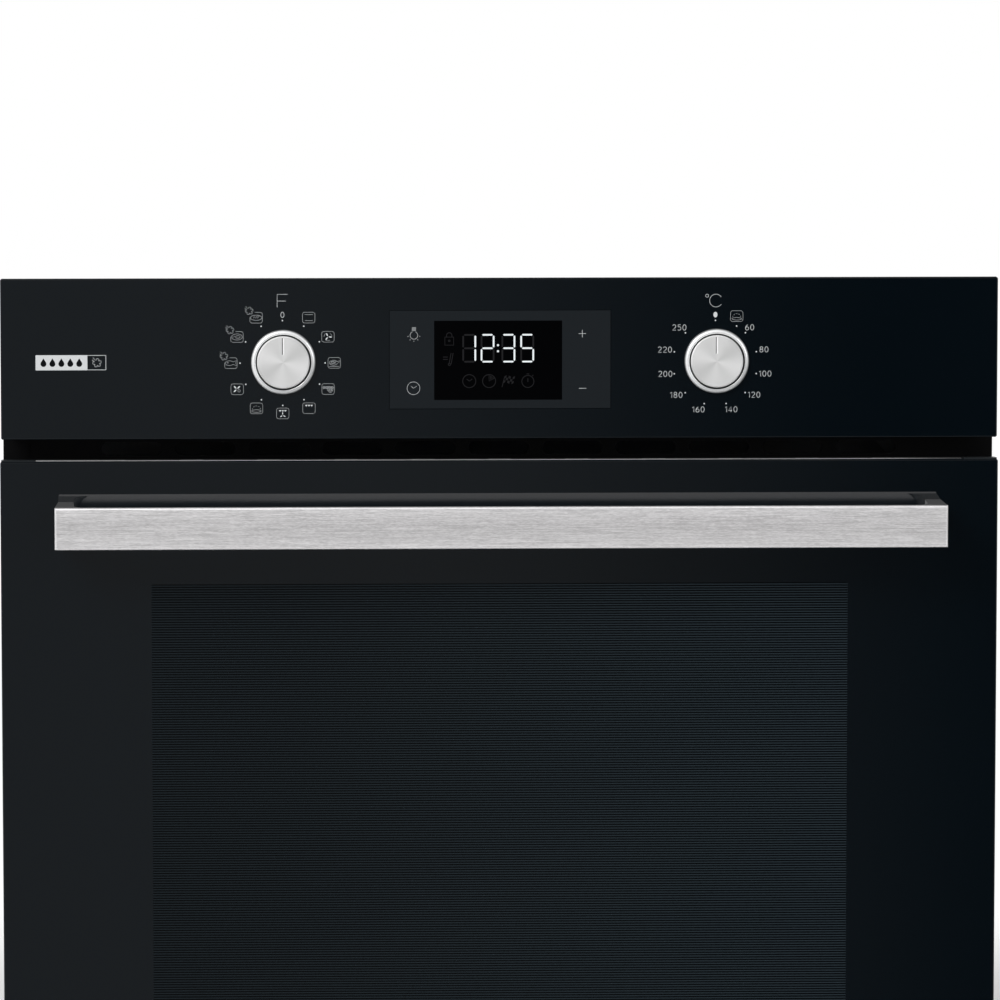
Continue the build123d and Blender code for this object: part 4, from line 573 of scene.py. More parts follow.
def print_finish():
    """Screen-printed ink: pale grey, a little uneven and slightly glossy from the oven glass."""
    if "dial_ink" in bpy.data.materials:
        return bpy.data.materials["dial_ink"]
    ink = bpy.context.scene.oven_prints.ink
    return plain_finish("dial_ink", {"IOR": 1.5}, (2400.0,), tones(ink, 0.9, 1.08), (0.45, 0.15))


def glow_finish(name, colour):
    """A display segment behind dark glass: its own light, a little uneven along the segment; for unlit
    segments and symbols this is a faint painted glow.
    """
    finish = Finish(name, {"Emission Strength": 1.0, "Roughness": 0.3, "IOR": 1.05})
    patch = finish.noise(900.0)
    finish.feed("Base Color", finish.mix(patch, *tones(colour, 0.02, 0.03)))
    finish.feed("Emission Color", finish.mix(patch, *tones(colour, 0.94, 1.0)))
    return finish.material


def fix_print(piece, material=None):
    """Gives a print its ink, the dials' own unless another is named, and fixes it to the oven's body."""
    piece.data.materials.clear()
    piece.data.materials.append(material or print_finish())
    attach(piece, "oven_body")


def print_lines(name, strokes, width, material=None):
    """Prints strokes as flat lines of ink."""
    ink = drawn(name, strokes, dimensions="3D", bevel_depth=width / 2, bevel_resolution=0, use_fill_caps=True)
    proud = bpy.context.scene.oven_prints.proud
    fix_print(stand_on_glass(ink, flatten=2 * proud / width), material)


def print_patches(name, outlines, material=None, coats=1.0):
    """Prints closed outlines as filled patches of ink, one coat thick or more."""
    outlines = [(outline, True) for outline in outlines]
    ink = drawn(name, outlines, dimensions="2D", fill_mode="BOTH", extrude=0.5)
    proud = coats * bpy.context.scene.oven_prints.proud
    fix_print(stand_on_glass(ink, flatten=2 * proud), material)


def dial_middle(knob, shift):
    """The middle of a dial's prints."""
    return middle(KNOBS[knob]) + Vector((shift[0], 0.0, shift[1])) * MM


def dial_dots(name, axis, angles):
    """The position dots round a knob."""
    size = bpy.context.scene.oven_prints
    dots = []
    for degrees in angles:
        right, up = clock_points(size.dial, degrees)
        dots.append(ink_dot(f"{name}_{degrees}", axis.x + right, axis.z + up, size.dot, size.proud))
    return dots


class WALLOVEN_OT_front_glass(bpy.types.Operator):
    """Black glass of the control panel and the door, the display lens and the clear panes"""

    bl_idname = "walloven.front_glass"
    bl_label = "Front glass"

    def execute(self, context):
        look = context.scene.oven_finishes
        clock = context.scene.oven_display
        clear_black = tones(look.glass, 0.94, 1.06)

        polished = {"IOR": 1.05, "Coat IOR": 1.7, "Coat Roughness": 0.022}
        fascia = Finish("control_glass", polished)
        _, y, _ = fascia.axes()
        haze = fascia.noise(9.0, 3.0)
        fascia.feed("Base Color", fascia.mix(haze, *clear_black))
        fascia.feed("Roughness", 0.30 + 0.1 * haze)
        fascia.feed("Coat Weight", 0.03 + 0.97 * (y < FASCIA[0].y + GROUND_EDGE))
        fascia.coat_on("control_fascia")

        door = Finish("door_glass", polished)
        x, y, z = door.axes()
        inside = (abs(x) < look.window_half_width) * (z < look.window_top) * (z > look.window_bottom)
        printed = (z % look.line_pitch) < look.line_pitch * 0.5
        haze = door.noise(9.0, 3.0)
        plain = door.mix(haze, *clear_black)
        # The window's print is paler towards the right
        across = x.rise(-look.window_half_width, look.window_half_width)
        ink = door.mix(across, *tones(look.window_ink, 0.56, 1.0))
        gap = door.mix(across, *tones(look.window_gap, 0.56, 1.0))
        door.feed("Base Color", door.mix(inside, plain, door.mix(printed, gap, ink)))
        door.feed("Roughness", 0.30 + 0.1 * haze)
        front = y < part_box("door_outer_glass")[0].y + GROUND_EDGE
        door.feed("Coat Weight", 0.03 + 0.97 * front - 0.7 * inside * front)
        door.coat_on("door_outer_glass")

        lens = Finish("display_lens", {"IOR": 1.22})
        x, _, z = lens.axes()
        beside = abs(x + SCREEN_LEFT) < clock.screen_width / 2
        level = abs(z - middle(LENS).z + SCREEN_DOWN) < clock.screen_height / 2
        grain = lens.noise(1800.0)
        rim = lens.mix(grain, *tones(clock.lens_grey, 0.9, 1.1))
        lens.feed("Base Color", lens.mix(beside * level, rim, (0.0004, 0.0005, 0.0008)))
        lens.feed("Roughness", 0.16 - 0.1 * (beside * level) + 0.03 * grain)
        lens.coat_on("display_lens")

        plain_finish("clear_pane", {"Transmission Weight": 1.0, "IOR": 1.45}, (14.0, 4.0, (1.0, 1.0, 0.4)),
                     ((0.90, 0.95, 0.94), (0.94, 0.97, 0.96)), (0.01, 0.03),
                     ("door_middle_glass", "door_inner_glass"))
        plain_finish("lamp_glass", {"Transmission Weight": 1.0, "IOR": 1.47}, (160.0, 1.0),
                     ((0.93, 0.93, 0.90), (0.97, 0.97, 0.95)), (0.03, 0.06),
                     ("lamp_glass", "lamp_bulb"), (0.35, 0.6 * MM))
        return {"FINISHED"}


class WALLOVEN_OT_bright_metal(bpy.types.Operator):
    """Brushed handle, spun knobs, their bezels, and the door's metal edges"""

    bl_idname = "walloven.bright_metal"
    bl_label = "Bright metal"

    def execute(self, context):
        look = context.scene.oven_finishes
        self.brushed_bar(look.handle)
        self.cast_posts()
        for name in KNOBS:
            self.spun_cap(name, look.knob)
        for name in BEZELS:
            self.satin_bezel(name)
        self.satin_rail()
        plain_finish("gloss_end_cap", {"IOR": 1.25}, (700.0, 2.0),
                     ((0.0095, 0.0118, 0.0135), (0.0115, 0.0140, 0.0160)), (0.30, 0.08), ("door_end_caps",))
        return {"FINISHED"}

    def brushed_bar(self, colour):
        """Metal brushed along its length, painted lighter towards its edges as a sheen, and on its rounded
        back polished and painted near-white as a highlight.
        """
        bar = Finish("brushed_bar", {"Metallic": 1.0})
        grain = bar.noise(180.0, 3.0, (0.25, 22.0, 22.0))
        hair = bar.noise(420.0, 2.0, (1.0, 12.0, 12.0))
        brush = (grain * 0.5 + hair * 0.5).rise(0.37, 0.63)
        low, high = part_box("handle_bar")
        _, y, z = bar.axes()
        # The rounded back is polished and painted near-white, a painted highlight for the light that falls on
        # it
        back = y.rise((low.y + high.y) / 2, high.y)
        # Towards the top and bottom edges the brushed colour is painted lighter, a painted sheen
        edge = abs(z - (low.z + high.z) / 2).rise(0.0, (high.z - low.z) * 0.6)
        dull = bar.mix(brush, *tones(colour, 0.82, 1.06))
        light = bar.mix(brush, *tones(colour, 0.98, 1.24))
        bar.feed("Base Color", bar.mix(back, bar.mix(edge, dull, light), (0.97, 0.98, 1.0)))
        bar.feed("Roughness", 0.36 + 0.12 * brush)
        bar.relief(brush, 0.10, 0.03 * MM)
        bar.coat_on("handle_bar")

    def cast_posts(self, arm=9.9 * MM, land=0.3 * MM):
        """Dark cast metal, bare in the hollow inside of each post's arm and under its top land."""
        posts = Finish("cast_post", {"Metallic": 0.9})
        skin = posts.noise(700.0, 3.0)
        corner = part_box("handle_posts")[1]
        x, _, z = posts.axes()
        scoop = (abs(x) < corner.x - arm) * (z < corner.z - land)
        cast = posts.mix(skin, (0.19, 0.19, 0.194), (0.26, 0.26, 0.265))
        posts.feed("Base Color", posts.mix(scoop, cast, (0.60, 0.60, 0.61)))
        posts.feed("Roughness", 0.38 + 0.14 * skin)
        posts.relief(skin, 0.1, 0.05 * MM)
        posts.coat_on("handle_posts")

    def spun_cap(self, name, colour, ring_pitch=0.28 * MM, band=2.6 * MM):
        """Turned metal: fine rings, soft sectors painted light and dark as highlights and shade of the
        spinning marks, an index groove with a painted shade and highlight, and a side painted near-black as
        shade.
        """
        axis = middle(KNOBS[name])
        cap = Finish("spun_" + name)
        x, y, z = cap.axes()
        x = x - axis.x
        z = z - axis.z
        # Two broad and four narrow sectors of painted highlight and shade, turned to where the light catches
        # the spinning marks
        turn = x.math("ARCTAN2", z, x)
        wide = x.math("COSINE", turn * 2.0 - 2 * math.radians(142.0))
        narrow = x.math("COSINE", turn * 4.0 + math.radians(54.0))
        painted_sectors = 0.5 + 0.22 * wide + 0.28 * narrow
        rings = x.math("SINE", x.reach(z) * (2 * math.pi / ring_pitch))
        # The groove's left side is painted dark as shade and its right side light as a painted highlight
        groove = (z > GROOVE[0]) * (z < GROOVE[1])
        left, fold, right = GROOVE_SIDES
        shaded = groove * (x > left) * (x < fold)
        bright = groove * (x > fold) * (x < right)
        # Behind the front band the side is painted near-black, as painted shade in the gap round the cap
        shaded_skirt = y > KNOBS[name][0].y + band
        spun = cap.mix(painted_sectors, *tones(colour, 0.83, 1.13))
        groove_highlighted = cap.mix(bright, spun, (0.95, 0.95, 0.955))
        marked = cap.mix(shaded, groove_highlighted, (0.07, 0.07, 0.072))
        cap.feed("Base Color", cap.mix(shaded_skirt, marked, (0.012, 0.012, 0.013)))
        cap.feed("Metallic", 1.0 - shaded_skirt)
        cap.feed("Roughness", 0.40 + 0.04 * rings)
        cap.relief(rings, 0.06, 0.02 * MM)
        cap.coat_on(name)

    def satin_bezel(self, name, bore=16.36 * MM, chamfer=0.4 * MM):
        """Satin metal with painted shade towards the lower right, where a painted shadow also makes its bore
        and the bore's chamfer dark.
        """
        low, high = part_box(name)
        axis = (low + high) / 2
        radius = (high.x - low.x) / 2
        bezel = Finish("satin_" + name)
        x, _, z = bezel.axes()
        x = x - axis.x
        z = z - axis.z
        # Painted shade: the satin darkens towards the lower right
        painted_shade = (0.5 * x - 0.85 * z).rise(-0.2 * radius, 0.9 * radius)
        # Painted shadow: the bore and its chamfer are painted near-black, most towards the lower right
        lower_right = 0.7 * x - 0.7 * z
        edge = bore + chamfer * lower_right.rise(-0.2 * radius, 0.4 * radius)
        painted_shadow = (x.reach(z) < edge) * lower_right.rise(-0.7 * radius, 0.2 * radius)
        polish = bezel.noise(420.0, 2.0)
        satin = bezel.mix(polish, (0.85, 0.86, 0.865), (0.91, 0.92, 0.925))
        shaded_satin = bezel.mix(painted_shade, satin, (0.60, 0.61, 0.615))
        bezel.feed("Base Color", bezel.mix(painted_shadow, shaded_satin, (0.010, 0.010, 0.011)))
        bezel.feed("Metallic", 1.0 - painted_shadow)
        bezel.feed("Roughness", 0.32 + 0.08 * polish)
        bezel.coat_on(name)

    def satin_rail(self, lip_depth=5.4 * MM, fade=(208.0 * MM, 285.0 * MM)):
        """Black rails with a bare front lip, pale metal painted near-white as a highlight line, which is
        painted darker towards its right end as shade.
        """
        rail = Finish("satin_rail", {"IOR": 1.3})
        grain = rail.noise(80.0, 3.0, (0.3, 14.0, 14.0))
        x, y, _ = rail.axes()
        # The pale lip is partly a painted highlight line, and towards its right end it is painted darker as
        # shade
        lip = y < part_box("door_top_rail")[0].y + lip_depth
        bare = rail.mix(grain, (0.80, 0.80, 0.805), (0.94, 0.94, 0.945))
        highlight_shaded_right = rail.mix(x.rise(*fade), bare, (0.17, 0.17, 0.175))
        rail.feed("Base Color", rail.mix(lip, (0.003, 0.003, 0.0033), highlight_shaded_right))
        rail.feed("Metallic", 0.25 * lip)
        rail.feed("Roughness", 0.42 + 0.14 * grain)
        rail.coat_on("door_top_rail", "door_bottom_rail")


class WALLOVEN_OT_cavity(bpy.types.Operator):
    """Enamel, wire, heaters, lamp socket, gasket and insulation"""

    bl_idname = "walloven.cavity"
    bl_label = "Cavity"

    def execute(self, context):
        look = context.scene.oven_finishes
        liner = Finish("speckled_enamel", {"IOR": 1.55, "Coat Roughness": 0.06})
        fleck = 1.0 - liner.cells(420.0).rise(0.10, 0.2)
        cloud = liner.noise(30.0, 3.0)
        ground = liner.mix(cloud, *tones(look.enamel, 0.86, 1.12))
        speckle = fleck * (liner.noise(240.0, 1.0) > 0.5)
        liner.feed("Base Color", liner.mix(speckle, ground, (0.30, 0.32, 0.36)))
        liner.feed("Roughness", 0.20 + 0.12 * cloud)
        liner.feed("Coat Weight", 0.35 + 0.3 * cloud)
        liner.relief(cloud, 0.12, 0.4 * MM)
        liner.coat_on("cavity_liner")

        plain_finish("black_enamel", {"IOR": 1.5}, (260.0, 2.0), tones(look.black_enamel, 0.85, 1.2),
                     (0.24, 0.12), ("fan_cover", "baking_tray"), (0.1, 0.2 * MM))
        # The front frame's black is darkened to near-black as painted shade for the gap under the control
        # glass
        plain_finish("matt_frame", {"IOR": 1.15}, (500.0, 2.0),
                     ((0.0012, 0.0012, 0.0014), (0.0022, 0.0022, 0.0025)), (0.55, 0.15),
                     ("front_frame",), (0.1, 0.1 * MM))
        plain_finish("bright_wire", {"Metallic": 1.0}, (150.0, 2.0), ((0.62, 0.62, 0.63), (0.76, 0.76, 0.77)),
                     (0.13, 0.1), ("side_rack_left", "side_rack_right", "wire_shelf"))

        heater = Finish("oxidised_rod", {"Metallic": 0.7})
        scale = heater.noise(220.0, 4.0)
        burnt = heater.mix(scale.rise(0.35, 0.7), (0.055, 0.05, 0.048), (0.16, 0.13, 0.11))
        heater.feed("Base Color", burnt)
        heater.feed("Roughness", 0.42 + 0.25 * scale)
        heater.relief(scale, 0.2, 0.1 * MM)
        heater.coat_on("ring_element", "grill_element", "bottom_element")

        plain_finish("lamp_ceramic", {"IOR": 1.5}, (900.0, 3.0), ((0.70, 0.67, 0.61), (0.80, 0.78, 0.73)),
                     (0.6, 0.2), ("lamp_holder",), (0.15, 0.1 * MM))
        plain_finish("door_gasket", {"IOR": 1.45}, (1100.0, 2.0),
                     ((0.030, 0.030, 0.032), (0.060, 0.060, 0.063)), (0.7, 0.2),
                     ("door_gasket",), (0.4, 0.2 * MM))

        wool = Finish("mineral_wool", {"IOR": 1.4})
        fibre = wool.noise(260.0, 5.0, (1.0, 1.0, 3.0))
        tuft = wool.noise(38.0, 3.0)
        wool.feed("Base Color", wool.mix(fibre * 0.6 + tuft * 0.4, (0.50, 0.43, 0.28), (0.76, 0.70, 0.55)))
        wool.feed("Roughness", 0.85 + 0.1 * fibre)
        wool.relief(fibre + tuft, 0.8, 1.2 * MM)
        wool.coat_on("insulation_wrap", "insulation_rear")
        return {"FINISHED"}


class WALLOVEN_OT_casing(bpy.types.Operator):
    """Galvanised casing, black mouldings, steelwork, motors and the control board"""

    bl_idname = "walloven.casing"
    bl_label = "Casing and works"

    def execute(self, context):
        look = context.scene.oven_finishes
        zinc = Finish("galvanised_sheet", {"Metallic": 1.0})
        spangle = zinc.node("ShaderNodeSeparateColor", (), {0: zinc.cells(95.0, "F1", "Color")})
        dull = zinc.noise(14.0, 3.0)
        zinc.feed("Base Color", zinc.mix(spangle * 0.6 + dull * 0.4, *tones(look.sheet, 0.89, 1.12)))
        zinc.feed("Roughness", 0.34 + 0.10 * spangle + 0.08 * dull)
        zinc.coat_on("side_panel_left", "side_panel_right", "top_panel", "rear_panel", "base_panel",
                     "air_duct", "control_bracket", "blower_housing", "hinge_receivers")

        plain_finish("black_moulding", {"IOR": 1.5}, (1500.0, 2.0), tones(look.plastic, 0.85, 1.25),
                     (0.48, 0.18), ("fascia_carrier", "selector_switch", "thermostat", "terminal_box",
                                    "cable_gland"), (0.15, 0.05 * MM))
        plain_finish("painted_stile", {"IOR": 1.5}, (320.0, 2.0),
                     ((0.016, 0.016, 0.017), (0.026, 0.026, 0.028)), (0.38, 0.14),
                     ("door_stile_left", "door_stile_right"), (0.12, 0.1 * MM))
        plain_finish("plain_steel", {"Metallic": 1.0}, (180.0, 3.0, (1.0, 0.4, 1.0)),
                     ((0.42, 0.42, 0.43), (0.58, 0.58, 0.59)), (0.26, 0.16),
                     ("casing_screws", "handle_screws", "convection_fan", "blower_rotor", "selector_shaft",
                      "thermostat_shaft"))
        plain_finish("plated_hinge", {"Metallic": 1.0}, (45.0, 3.0),
                     ((0.40, 0.40, 0.41), (0.53, 0.53, 0.52)), (0.28, 0.18),
                     ("hinge_channels", "hinge_pins", "hinge_springs", "hinge_rods", "hinge_claws"))
        plain_finish("motor_lamination", {"Metallic": 0.8}, (90.0, 2.0, (6.0, 6.0, 1.0)),
                     ((0.10, 0.10, 0.10), (0.22, 0.215, 0.21)), (0.4, 0.2), ("fan_motor", "blower_motor"))

        board = Finish("control_board", {"IOR": 1.5})
        track = board.cells(160.0, "DISTANCE_TO_EDGE", "Distance", (1.0, 1.0, 0.6)) < 0.08
        board.feed("Base Color", board.mix(track, (0.014, 0.07, 0.034), (0.03, 0.13, 0.065)))
        board.feed("Roughness", 0.42 + 0.1 * board.noise(300.0))
        board.coat_on("display_module")
        return {"FINISHED"}


class WALLOVEN_OT_hinge_springs(bpy.types.Operator):
    """Wound springs on the rods in the door"""

    bl_idname = "walloven.hinge_springs"
    bl_label = "Hinge springs"

    def execute(self, context):
        wire = context.scene.oven_finishes.spring_wire
        low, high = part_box("hinge_springs")
        height = high.z - low.z
        radius = (high.y - low.y) / 2
        y = (low.y + high.y) / 2
        coils = []
        for x in (low.x + radius, high.x - radius):
            coils.append(settle(self.coil(radius - wire / 2, height, wire), place=(x, y, low.z)))
        springs = join("hinge_coils", coils)
        springs.data.materials.append(bpy.data.materials["plated_hinge"])
        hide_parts("hinge_springs")
        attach(springs, "door")
        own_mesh(springs)
        return {"FINISHED"}

    def coil(self, radius, height, wire, turns=27, room=0.1 * MM):
        """Winds one spring round the z axis, with a closed turn at each end and room above and below."""
        closed = 1.05 * wire
        pitch = (height - wire - 2 * room - 2 * closed) / turns
        z = wire / 2 + room
        runs = []
        for rise, count in ((closed, 1), (pitch, turns), (closed, 1)):
            bpy.ops.object.select_all(action="DESELECT")
            bpy.ops.mesh.primitive_circle_add(vertices=WIRE_SIDES, radius=wire / 2)
            run = settle(bpy.context.active_object, (math.pi / 2, 0.0, 0.0), (radius, 0.0, z))
            bpy.ops.object.modifier_add(type="SCREW")
            screw = run.modifiers[-1]
            screw.screw_offset = rise
            screw.iterations = count
            screw.steps = screw.render_steps = TURN_STEPS
            bpy.ops.object.modifier_apply(modifier=screw.name)
            runs.append(run)
            z += rise * count
        coil = join("hinge_coil", runs)
        bpy.ops.object.mode_set(mode="EDIT")
        bpy.ops.mesh.select_all(action="SELECT")
        bpy.ops.mesh.remove_doubles(threshold=0.01 * MM)
        bpy.ops.mesh.fill_holes(sides=0)
        bpy.ops.mesh.normals_make_consistent(inside=False)
        bpy.ops.object.mode_set(mode="OBJECT")
        return coil


class WALLOVEN_OT_function_dial(bpy.types.Operator):
    """Dots, symbols and letter round the function selector"""

    bl_idname = "walloven.function_dial"
    bl_label = "Function dial"

    def execute(self, context):
        size = context.scene.oven_prints
        axis = dial_middle("selector_knob", FUNCTION_SHIFT)
        x, z = axis.x / MM, axis.z / MM
        fix_print(join("function_dial_dots", dial_dots("function_dot", axis, range(0, 360, 30))))
        lines, fills = [], []
        for degrees, strokes in FUNCTION_SYMBOLS.items():
            right, up = clock_points(size.symbols / MM - SYMBOL_INSET.get(degrees, 0.0), degrees)
            lines += moved(strokes, x + right, z + up)
            for outline in FILLED_SYMBOLS.get(degrees, []):
                fills.append([(x + right + px, z + up + pz) for px, pz in outline])
        print_lines("function_dial_symbols", lines, size.line)
        print_patches("function_dial_fills", fills)
        letter = [line((3.1, 3.9), (-3.1, 3.9), (-3.1, -3.8)), line((-3.1, -0.1), (2.0, -0.1))]
        print_lines("function_letter", moved(letter, x, z + LETTER_RISE), size.letter_line)
        print_lines("function_off_mark", numerals("0", x, z + OFF_RISE), size.number_line)
        return {"FINISHED"}


class WALLOVEN_OT_heat_dial(bpy.types.Operator):
    """Dots, degrees and symbols round the temperature knob"""

    bl_idname = "walloven.heat_dial"
    bl_label = "Temperature dial"

    def execute(self, context):
        size = context.scene.oven_prints
        axis = dial_middle("temperature_knob", HEAT_SHIFT)
        x, z = axis.x / MM, axis.z / MM
        dots = dial_dots("heat_dot", axis, HEAT_DOTS)
        dots.append(ink_dot("heat_off_mark", axis.x, axis.z + OFF_RISE * MM, 1.2 * MM, size.proud, 1.4))
        fix_print(join("heat_dial_dots", dots))
        numbers = []
        for degrees, (right, up) in HEAT_NUMBERS.items():
            numbers += numerals(str(degrees), x + right, z + up)
        print_lines("heat_dial_numbers", numbers, size.number_line)
        symbol = oven_outline() + rising_dough()
        print_lines("heat_dial_symbol", moved(symbol, x + 12.7, z + 27.8), size.line)
        unit = [line(*arc(0.3, 0.0, 3.8, 35, 325, steps=24)), ring(-5.0, 2.9, 0.92, steps=12)]
        print_lines("heat_unit", moved(unit, x, z + UNIT_RISE), size.letter_line)
        return {"FINISHED"}


class WALLOVEN_OT_clock(bpy.types.Operator):
    """Lit and unlit segments and symbols of the display"""

    bl_idname = "walloven.clock"
    bl_label = "Clock"

    def execute(self, context):
        show = context.scene.oven_display
        bright = glow_finish("lit_segment", show.glow)
        # Unlit segments and the display's symbols get a faint painted glow, which stands in for the light
        # they catch
        painted_glow = glow_finish("unlit_segment", show.unlit)
        lit, unlit = self.segments(show)
        print_patches("clock_lit_segments", lit, bright)
        print_patches("clock_unlit_segments", unlit, painted_glow)
        proud = context.scene.oven_prints.proud
        colon = []
        for place in (1.8, -1.8):
            height = (CLOCK_HEIGHT + place) * MM
            colon.append(ink_dot(f"clock_colon_{place}", COLON_PLACE * MM, height, 0.65 * MM, proud))
        fix_print(join("clock_colon", colon), bright)
        lock = [([(-2.6, -2.5), (2.6, -2.5), (2.6, 2.3), (-2.6, 2.3)], True), ring(0, 0.1, 0.5, steps=8),
                line((-1.6, 2.3), (-1.6, 3.3), *arc(0, 3.3, 1.6, 180, 0), (1.6, 2.3))]
        probe = [line((0.2, -3.4), (1.4, 3.2)), line((1.4, -3.4), (2.6, 3.2)), ring(0.4, -3.6, 0.7, steps=8),
                 line((-3.4, 0.8), (-0.6, 0.8)), line((-3.4, -0.6), (-0.6, -0.6))]
        hands = [ring(0, 0, 3.9, steps=24), line((-1.5, 1.2), (0.1, 0), (1.8, 1.3))]
        timer = [ring(0, 0, 3.9, steps=24), line((0, 3.9), (0, 0), (3.4, 1.9)), line((0.8, 3.2), (0.8, 0.9)),
                 line((1.6, 2.9), (1.6, 1.4)), line((2.4, 2.3), (2.4, 1.8))]
        flag = [line((-3.8, -3.6), (-2.2, 2.6))]
        watch = [ring(0, -0.3, 3.6, steps=24), line((0, 1.6), (0, -0.6)), line((-0.8, 4.2), (0.8, 4.2)),
                 line((2.6, 3.0), (3.2, 3.6))]
        marks = moved(lock, -30.3, 557.6) + moved(probe, -30.6, 547.2)
        for place, mark in ((-18.4, hands), (-6.6, timer), (FLAG_PLACE, flag), (16.5, watch)):
            marks += moved(mark, place, MARK_HEIGHT)
        print_lines("clock_symbols", marks, 0.46 * MM, painted_glow)
        checks = [[(FLAG_PLACE + x, MARK_HEIGHT + z) for x, z in check] for check in flag_checks()]
        print_patches("clock_flag", checks, painted_glow)
        return {"FINISHED"}

    def segments(self, show):
        """Pointed bars for the lit and for the unlit segments of the time, as outlines."""
        digits = [letter for letter in show.time if letter.isdigit()]
        if len(digits) != len(DIGIT_PLACES):
            raise ValueError("the clock has four digits")
        lit, unlit = [], []
        half_w, half_h = show.digit_width / MM / 2, show.digit_height / MM / 2
        half_t = show.segment / MM / 2
        for digit, place in zip(digits, DIGIT_PLACES):
            for letter, ends in SEGMENTS.items():
                start, end = [Vector((place + x * half_w, CLOCK_HEIGHT + z * half_h)) for x, z in ends]
                step = (end - start).normalized() * half_t
                side = Vector((-step.y, step.x))
                start, end = start + step * 0.8, end - step * 0.8
                bar = (start, start + step + side, end - step + side,
                       end, end - step - side, start + step - side)
                (lit if letter in LIT[digit] else unlit).append([tuple(point) for point in bar])
        return lit, unlit


class WALLOVEN_OT_touch_keys(bpy.types.Operator):
    """Symbols of the four touch keys beside the clock"""

    bl_idname = "walloven.touch_keys"
    bl_label = "Touch keys"

    def execute(self, context):
        size = context.scene.oven_prints
        lamp = [line(*arc(0, -0.7, 2.3, 112, 428, steps=18))]
        lamp += [line((-1.2, level), (1.2, level)) for level in (2.1, 2.7, 3.3, 3.9)]
        rays = [line(clock_points(3.2, angle), clock_points(3.9, angle)) for angle in range(100, 261, 40)]
        clock = [ring(0, 0, 3.8, steps=28), line((-1.5, 1.2), (0.1, 0), (1.9, 1.3))]
        minus = [line((-2.2, 0), (2.2, 0))]
        plus = minus + [line((0, -2.2), (0, 2.2))]
        fine = moved(lamp + moved(rays, 0.0, -0.7), -51.3, 561.7) + moved(clock, -51.6, 529.4)
        print_lines("touch_key_symbols", fine, size.key_line)
        signs = moved(plus, 48.9, 561.8) + moved(minus, 49.1, 529.1)
        print_lines("touch_key_signs", signs, size.sign_line)
        return {"FINISHED"}


class WALLOVEN_OT_badge(bpy.types.Operator):
    """A plain badge at the left of the control glass, with no name on it"""

    bl_idname = "walloven.badge"
    bl_label = "Badge"

    def execute(self, context):
        size = context.scene.oven_prints
        bpy.ops.object.select_all(action="DESELECT")
        bpy.ops.mesh.primitive_plane_add(size=1.0)
        bar = context.active_object
        bar.name = "badge_bar"
        bpy.ops.object.mode_set(mode="EDIT")
        bpy.ops.mesh.select_all(action="SELECT")
        bpy.ops.transform.resize(value=(BADGE_BAR[0] * MM, BADGE_BAR[1] * MM, 1.0))
        bpy.ops.mesh.bevel(affect="VERTICES", offset=0.25 * MM, segments=3)
        bpy.ops.mesh.extrude_region_move(TRANSFORM_OT_translate={"value": (0.0, 0.0, size.proud)})
        bpy.ops.object.mode_set(mode="OBJECT")
        x = BADGE_LEFT + BADGE_BAR[0] / 2
        fix_print(stand_on_glass(bar, x * MM, BADGE_Z * MM))
        dark = Finish("badge_ink", {"Roughness": 0.5, "IOR": 1.05})
        dark.feed("Base Color", dark.mix(dark.noise(2400.0), (0.004, 0.005, 0.006), (0.007, 0.008, 0.009)))
        drop = [(0.0, 2.6)] + arc(0.0, -0.7, 1.75, 30, -210, steps=12)
        drops = [[(x + place * DROP_PITCH + px, BADGE_Z + pz) for px, pz in drop] for place in range(-2, 3)]
        print_patches("badge_drops", drops, dark.material, coats=1.6)
        box_x = BADGE_LEFT + BADGE_BAR[0] + BADGE_BOX / 2
        box = oven_outline(BADGE_BOX / 2, BADGE_BAR[1] / 2 - 0.2, 0.2)
        print_lines("badge_box", moved(box, box_x, BADGE_Z), 0.38 * MM)
        print_lines("badge_puff", moved(steam_cloud(), box_x + 0.3, BADGE_Z - 0.1, 1.05), size.key_line)
        return {"FINISHED"}


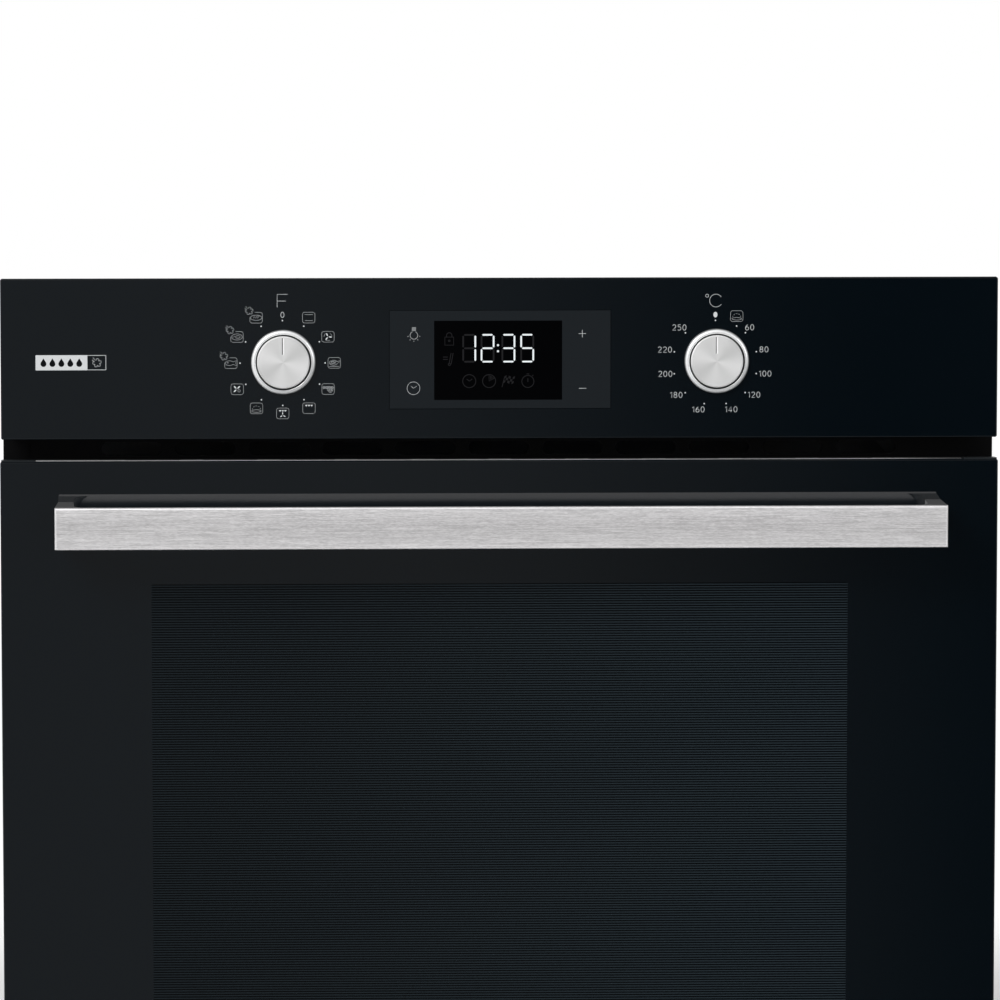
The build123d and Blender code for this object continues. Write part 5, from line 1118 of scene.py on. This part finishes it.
class WALLOVEN_OT_stage(bpy.types.Operator):
    """Pale floor, soft studio light, white background and the camera"""

    bl_idname = "walloven.stage"
    bl_label = "Stage"

    def execute(self, context):
        stage = context.scene.oven_stage
        context.scene.view_settings.view_transform = "Standard"
        self.floor(stage)
        self.surroundings(context, stage)
        self.lamp("key_lamp", (-1.5, -1.9, 2.1), 1.3, stage.key)
        self.lamp("fill_lamp", (1.9, -1.6, 1.1), 1.2, stage.fill)
        ahead, level = -math.cos(stage.azimuth), math.cos(stage.elevation)
        away = Vector((math.sin(stage.azimuth) * level, ahead * level, math.sin(stage.elevation)))
        bpy.ops.object.camera_add(location=Vector(stage.aim) + away * stage.distance)
        camera = context.active_object
        camera.rotation_euler = (-away).to_track_quat("-Z", "Y").to_euler()
        camera.data.sensor_width = SENSOR
        camera.data.lens = SENSOR * stage.distance / stage.view_width
        camera.data.clip_end = 100.0
        context.scene.camera = camera
        return {"FINISHED"}

    def floor(self, stage):
        bpy.ops.object.select_all(action="DESELECT")
        bpy.ops.mesh.primitive_circle_add(vertices=96, radius=stage.floor_radius, fill_type="NGON",
                                          location=FLOOR_PLACE)
        plate = bpy.context.active_object
        plate.name = "floor"
        paint = Finish("floor_paint", {"Roughness": 0.75})
        paint.feed("Base Color", paint.mix(paint.noise(40.0, 3.0), *tones(stage.floor, 0.98, 1.02)))
        x, y, _ = paint.axes()
        fade = x.reach(y).rise(0.62 * stage.floor_radius, 0.98 * stage.floor_radius)
        painted = Value(paint, paint.shader.outputs[0])
        clear = paint.node("ShaderNodeBsdfTransparent")
        blend = paint.node("ShaderNodeMixShader", (), {0: fade, 1: painted, 2: clear})
        paint.plug(paint.tree.nodes["Material Output"].inputs["Surface"], blend)
        plate.data.materials.append(paint.material)

    def surroundings(self, context, stage):
        """White where the camera or a clear pane looks past the oven, dim where the front glass looks."""
        room = Finish("studio", world=True)
        context.scene.world = room.material
        x, y, z = room.axes("Generated")
        # The front glass looks at a patch ahead of it, a little to the right of the middle and below level
        beside, below = x - 0.03, z + 0.1
        ahead = (y < 0.0) * (1.0 - beside.reach(below).rise(0.14, 0.30))
        # The patch darkens towards the right, and sooner in the upper part, which the control glass looks at
        upper = z.rise(-0.0985, -0.0957)
        dim = 0.147 - 0.143 * (x + 0.0275 * upper).rise(0.01, 0.12)
        # All else that metal looks at is bright, and less so at the right
        open_side = 0.95 - 0.33 * x.rise(0.2, 0.7)
        seen = open_side - ahead * (open_side - dim)
        path = room.node("ShaderNodeLightPath").socket.node
        kinds = ("Is Camera Ray", "Is Glossy Ray", "Is Transmission Ray")
        camera, glossy, through = [Value(room, path.outputs[kind]) for kind in kinds]
        level = stage.ambient + glossy * (seen - stage.ambient)
        clear = camera.math("MAXIMUM", camera, through)
        room.feed("Color", (1.0, 1.0, 1.0))
        room.feed("Strength", level + clear * (1.0 - level))

    def lamp(self, name, place, size, watts):
        bpy.ops.object.light_add(type="AREA", location=place)
        lamp = bpy.context.active_object
        lamp.name = name
        lamp.data.shape = "DISK"
        lamp.data.size = size
        lamp.data.energy = watts
        lamp.rotation_euler = (LAMP_AIM - Vector(place)).to_track_quat("-Z", "Y").to_euler()


OPERATORS = (
    WALLOVEN_OT_front_glass,
    WALLOVEN_OT_bright_metal,
    WALLOVEN_OT_cavity,
    WALLOVEN_OT_casing,
    WALLOVEN_OT_hinge_springs,
    WALLOVEN_OT_function_dial,
    WALLOVEN_OT_heat_dial,
    WALLOVEN_OT_clock,
    WALLOVEN_OT_touch_keys,
    WALLOVEN_OT_badge,
    WALLOVEN_OT_stage,
)
SETTINGS = {
    "oven_finishes": OvenFinishSettings,
    "oven_prints": OvenPrintSettings,
    "oven_display": OvenDisplaySettings,
    "oven_stage": OvenStageSettings,
}


class WALLOVEN_PT_sidebar(bpy.types.Panel):
    """Lists the settings and the operators"""

    bl_idname = "WALLOVEN_PT_sidebar"
    bl_label = "Wall oven"
    bl_space_type = "VIEW_3D"
    bl_region_type = "UI"
    bl_category = "Wall oven"

    def draw(self, context):
        for name in SETTINGS:
            group = getattr(context.scene, name)
            for setting in group.__annotations__:
                self.layout.prop(group, setting)
        for operator in OPERATORS:
            self.layout.operator(operator.bl_idname)


def register():
    for kind in (*SETTINGS.values(), *OPERATORS, WALLOVEN_PT_sidebar):
        bpy.utils.register_class(kind)
    for name, group in SETTINGS.items():
        setattr(bpy.types.Scene, name, PointerProperty(type=group))


def unregister():
    for name in SETTINGS:
        delattr(bpy.types.Scene, name)
    for kind in (WALLOVEN_PT_sidebar, *reversed(OPERATORS), *reversed(tuple(SETTINGS.values()))):
        bpy.utils.unregister_class(kind)


def main():
    register()
    bpy.ops.walloven.front_glass()
    bpy.ops.walloven.bright_metal()
    bpy.ops.walloven.cavity()
    bpy.ops.walloven.casing()
    bpy.ops.walloven.hinge_springs()
    bpy.ops.walloven.function_dial()
    bpy.ops.walloven.heat_dial()
    bpy.ops.walloven.clock()
    bpy.ops.walloven.touch_keys()
    bpy.ops.walloven.badge()
    bpy.ops.walloven.stage()


if __name__ == "__main__":
    main()
